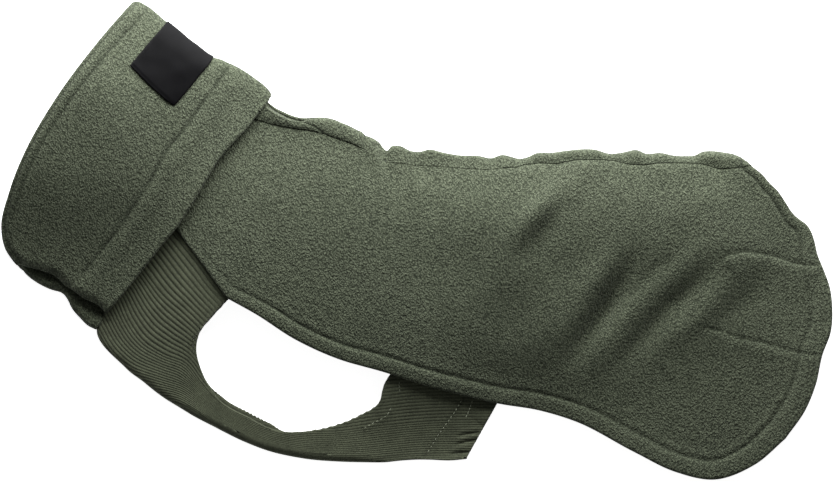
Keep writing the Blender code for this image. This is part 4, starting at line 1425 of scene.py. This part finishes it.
def chest_rib():
    sections = along(smooth_path(RIB_SECTIONS), np.linspace(0, 1, 262))
    edge, fold = sections[:, None, :2], sections[:, None, 2:]
    lengths = np.linalg.norm(edge - fold, axis=-1)
    run = run_along(sections[:, :2])[:, None]
    halves, walls, counts, depths, groove_shades = [], [], [], [], []
    for side, flats in ((1, 132), (-1, 16)):
        steps = np.stack([
            fold_steps(min(BELLY_FOLD_REACH, 0.4 * length), length, 6, flats, RIB_RIM)
            for length in lengths[:, 0]
        ])
        spots = fold + (edge - fold) * (steps / lengths)[..., None]
        x, y = spots[..., 0], spots[..., 1]
        count, width = wales(x, y)
        ridge = np.abs(np.sin(np.pi * count)) ** 0.5
        start = BELLY_FOLD_HEIGHT + over_collar(x, y) / 2
        groove, pleats = rear_hem(x, y)
        if side > 0:
            tall = RIB_RELIEF * (ridge - 0.5) * (0.4 + 0.6 * ramp(width, 1.8, 3.0)) + pleats
            flat = upper_rib(x, y) - SAG * ramp(-y, *SAG_Y) * ramp(x, *SAG_X)
            relief = tall - RIB_GROOVE * groove
            wave = np.abs(np.sin(np.pi * run / UPPER_WAVE)) - 0.5
            rim = RIM_WAVE * wave * ramp(x, -76, -64) * (1 - ramp(x, -34, -22)) + 0.4 * (ridge - 0.5)
        else:
            flat, relief = lower_rib(x, y), 0.0
            wave = np.abs(np.sin(np.pi * run / LOWER_WAVE))
            rim = (LOWER_OUT + RIM_WAVE * wave) * ramp(x, -140, -128) * (1 - ramp(x, -98, -86))
        z = start + (flat - start) * fold_share(steps, BELLY_FOLD_REACH) + relief
        spots = spots + (edge - fold) / lengths[..., None] * (rim * (steps / lengths) ** 8)[..., None]
        halves.append(np.dstack([spots, z]))
        walls.append(rounded(np.full(z.shape, RIB), lengths - steps + 0.05))
        counts.append(count)
        depths.append(np.interp(x, *np.array(STRETCH).T))
        groove_shades.append(groove)
    return make_sheet("chest_rib_panel", joined(*halves), joined(*walls), rib_knit, "rib_knit", ["chest_rib"],
                      groove=joined(*groove_shades), wale=joined(*counts), depth=joined(*depths))


chest = chest_rib()

# %% [markdown]
# ## Stitches
#
# Twin-needle stitching holds the rib's rear hem and its joins. Each stitch is a tiny bead of thread. An
# array along a curve is the usual way for long rows; these are few and short, so each bead is placed on
# the rib's surface and all of them are one joined mesh.

# %% Stitches on the rib
StitchRow = namedtuple("StitchRow", "points pitch")
STITCH_ROWS = (
    StitchRow(pitch=3.0, points=(
        (30, -104.9), (26.1, -111.5), (18, -123.1), (13.9, -128.7), (10.6, -134.6), (6.3, -141.2))),
    StitchRow(points=((37, -104.9), (34.5, -112.2), (32.7, -116.5)), pitch=2.6),
    StitchRow(points=((-11.3, -92.4), (-11.2, -97), (-11.3, -101.6)), pitch=2.6),
    StitchRow(points=((-16.8, -109.9), (-18.3, -113.2), (-30.7, -121.4), (-36.6, -124.7)), pitch=3.0),
)
STITCH_SIZE = (0.95, 0.28, 0.25)        # half its length, width and height
STITCH_CLEAR = 0.25                     # from the rib's face to the stitch's middle


def rib_stitches():
    bm = bmesh.new()
    count = 0
    for row in STITCH_ROWS:
        line = smooth_path(row.points, 0.5)
        run = run_along(line)[-1]
        shares = np.arange(0.5, run / row.pitch - 0.2) * row.pitch / run
        for (x, y), (ahead_x, ahead_y) in zip(along(line, shares), along(line, shares + 0.02)):
            height = float(upper_rib(np.array([x]), np.array([y]))[0]) + RIB / 2 + STITCH_CLEAR
            turn = Euler((0, 0, np.arctan2(ahead_y - y, ahead_x - x))).to_matrix().to_4x4()
            size = Matrix.Diagonal([half * MM for half in STITCH_SIZE] + [1])
            place = Matrix.Translation(Vector((x, y, height)) * MM) @ turn @ size
            bmesh.ops.create_uvsphere(bm, u_segments=6, v_segments=4, radius=1.0, matrix=place)
            count += 1
    stitches = piece("rib_stitches", bm, thread)
    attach(stitches, "root")
    print("stitches:", count)
    return stitches


stitches = rib_stitches()

# %% [markdown]
# ## The sheets
#
# The sheets are the back panels, the casing, the welts, the collar, the label and the chest panel. A
# maker cuts each of them flat, and none of the panels is a rectangle.

print("sheets: body, casing, welts, collar, label and chest panel")

# %% [markdown]
# ## The studio
#
# A pale floor, one big soft lamp low on the back-line side, and a weak even light from all round. A lamp
# overhead would flatten such low creases; one that grazes them models them and leaves the belly side
# darker. The floor glows a little, so that the shadows on it stay faint.

# %% Floor
def studio_floor():
    bm = bmesh.new()
    bmesh.ops.create_grid(bm, x_segments=4, y_segments=4, size=6.0)
    paper = bpy.data.materials.new("studio_paper")
    paper.use_nodes = True
    shader = paper.node_tree.nodes["Principled BSDF"]
    shader.inputs["Base Color"].default_value = (0.9, 0.9, 0.9, 1.0)
    shader.inputs["Roughness"].default_value = 0.9
    shader.inputs["Emission Color"].default_value = (1.0, 1.0, 1.0, 1.0)
    shader.inputs["Emission Strength"].default_value = 0.90
    floor = piece("studio_floor", bm, paper)
    return floor


print("floor:", studio_floor().name)

# %% [markdown]
# The lamp is an area lamp, because a wide lamp gives shadows with soft edges. A sun lamp would draw each
# crease and each curl hard.

# %% Lights
def soft_lamp(name, place, target, size, watts):
    data = bpy.data.lights.new(name, "AREA")
    data.shape = "RECTANGLE"
    data.size, data.size_y = size
    data.energy = watts
    lamp = in_scene(name, data)
    lamp.location = place
    lamp.rotation_euler = (Vector(target) - Vector(place)).to_track_quat("-Z", "Y").to_euler()
    return lamp


key = soft_lamp("key_lamp", place=(0.07, 0.56, 0.22), target=(0.07, 0.0, 0.0), size=(0.95, 0.45), watts=23.1)
world = bpy.data.worlds.new("studio_air")
world.use_nodes = True
air = world.node_tree.nodes["Background"]
air.inputs["Color"].default_value = (1.0, 1.0, 1.0, 1.0)
air.inputs["Strength"].default_value = 0.15
bpy.context.scene.world = world
bpy.context.scene.view_settings.view_transform = "Standard"
print("lamp:", key.name, key.data.energy, "W")

# %% [markdown]
# ## The camera
#
# The sweater is seen from straight above. A long lens from far away keeps its outline free of
# perspective.

# %% Camera
SENSOR = 36.0               # the camera's own width, in millimetres
MIDDLE_HEIGHT = 0.010       # the width holds at this height, the middle of the cloth, in metres


def camera_above(width_mm, centre, distance):
    """A camera that looks straight down and sees just this width."""
    data = bpy.data.cameras.new("camera")
    data.sensor_width = SENSOR
    data.lens = SENSOR * distance / (width_mm * MM)
    data.clip_end = 50.0
    camera = in_scene("camera", data)
    camera.location = (centre[0] * MM, centre[1] * MM, distance + MIDDLE_HEIGHT)
    bpy.context.scene.camera = camera
    print("lens, mm:", round(data.lens, 1))


camera_above(width_mm=551.1, centre=(0.66, 0.0), distance=6.0)
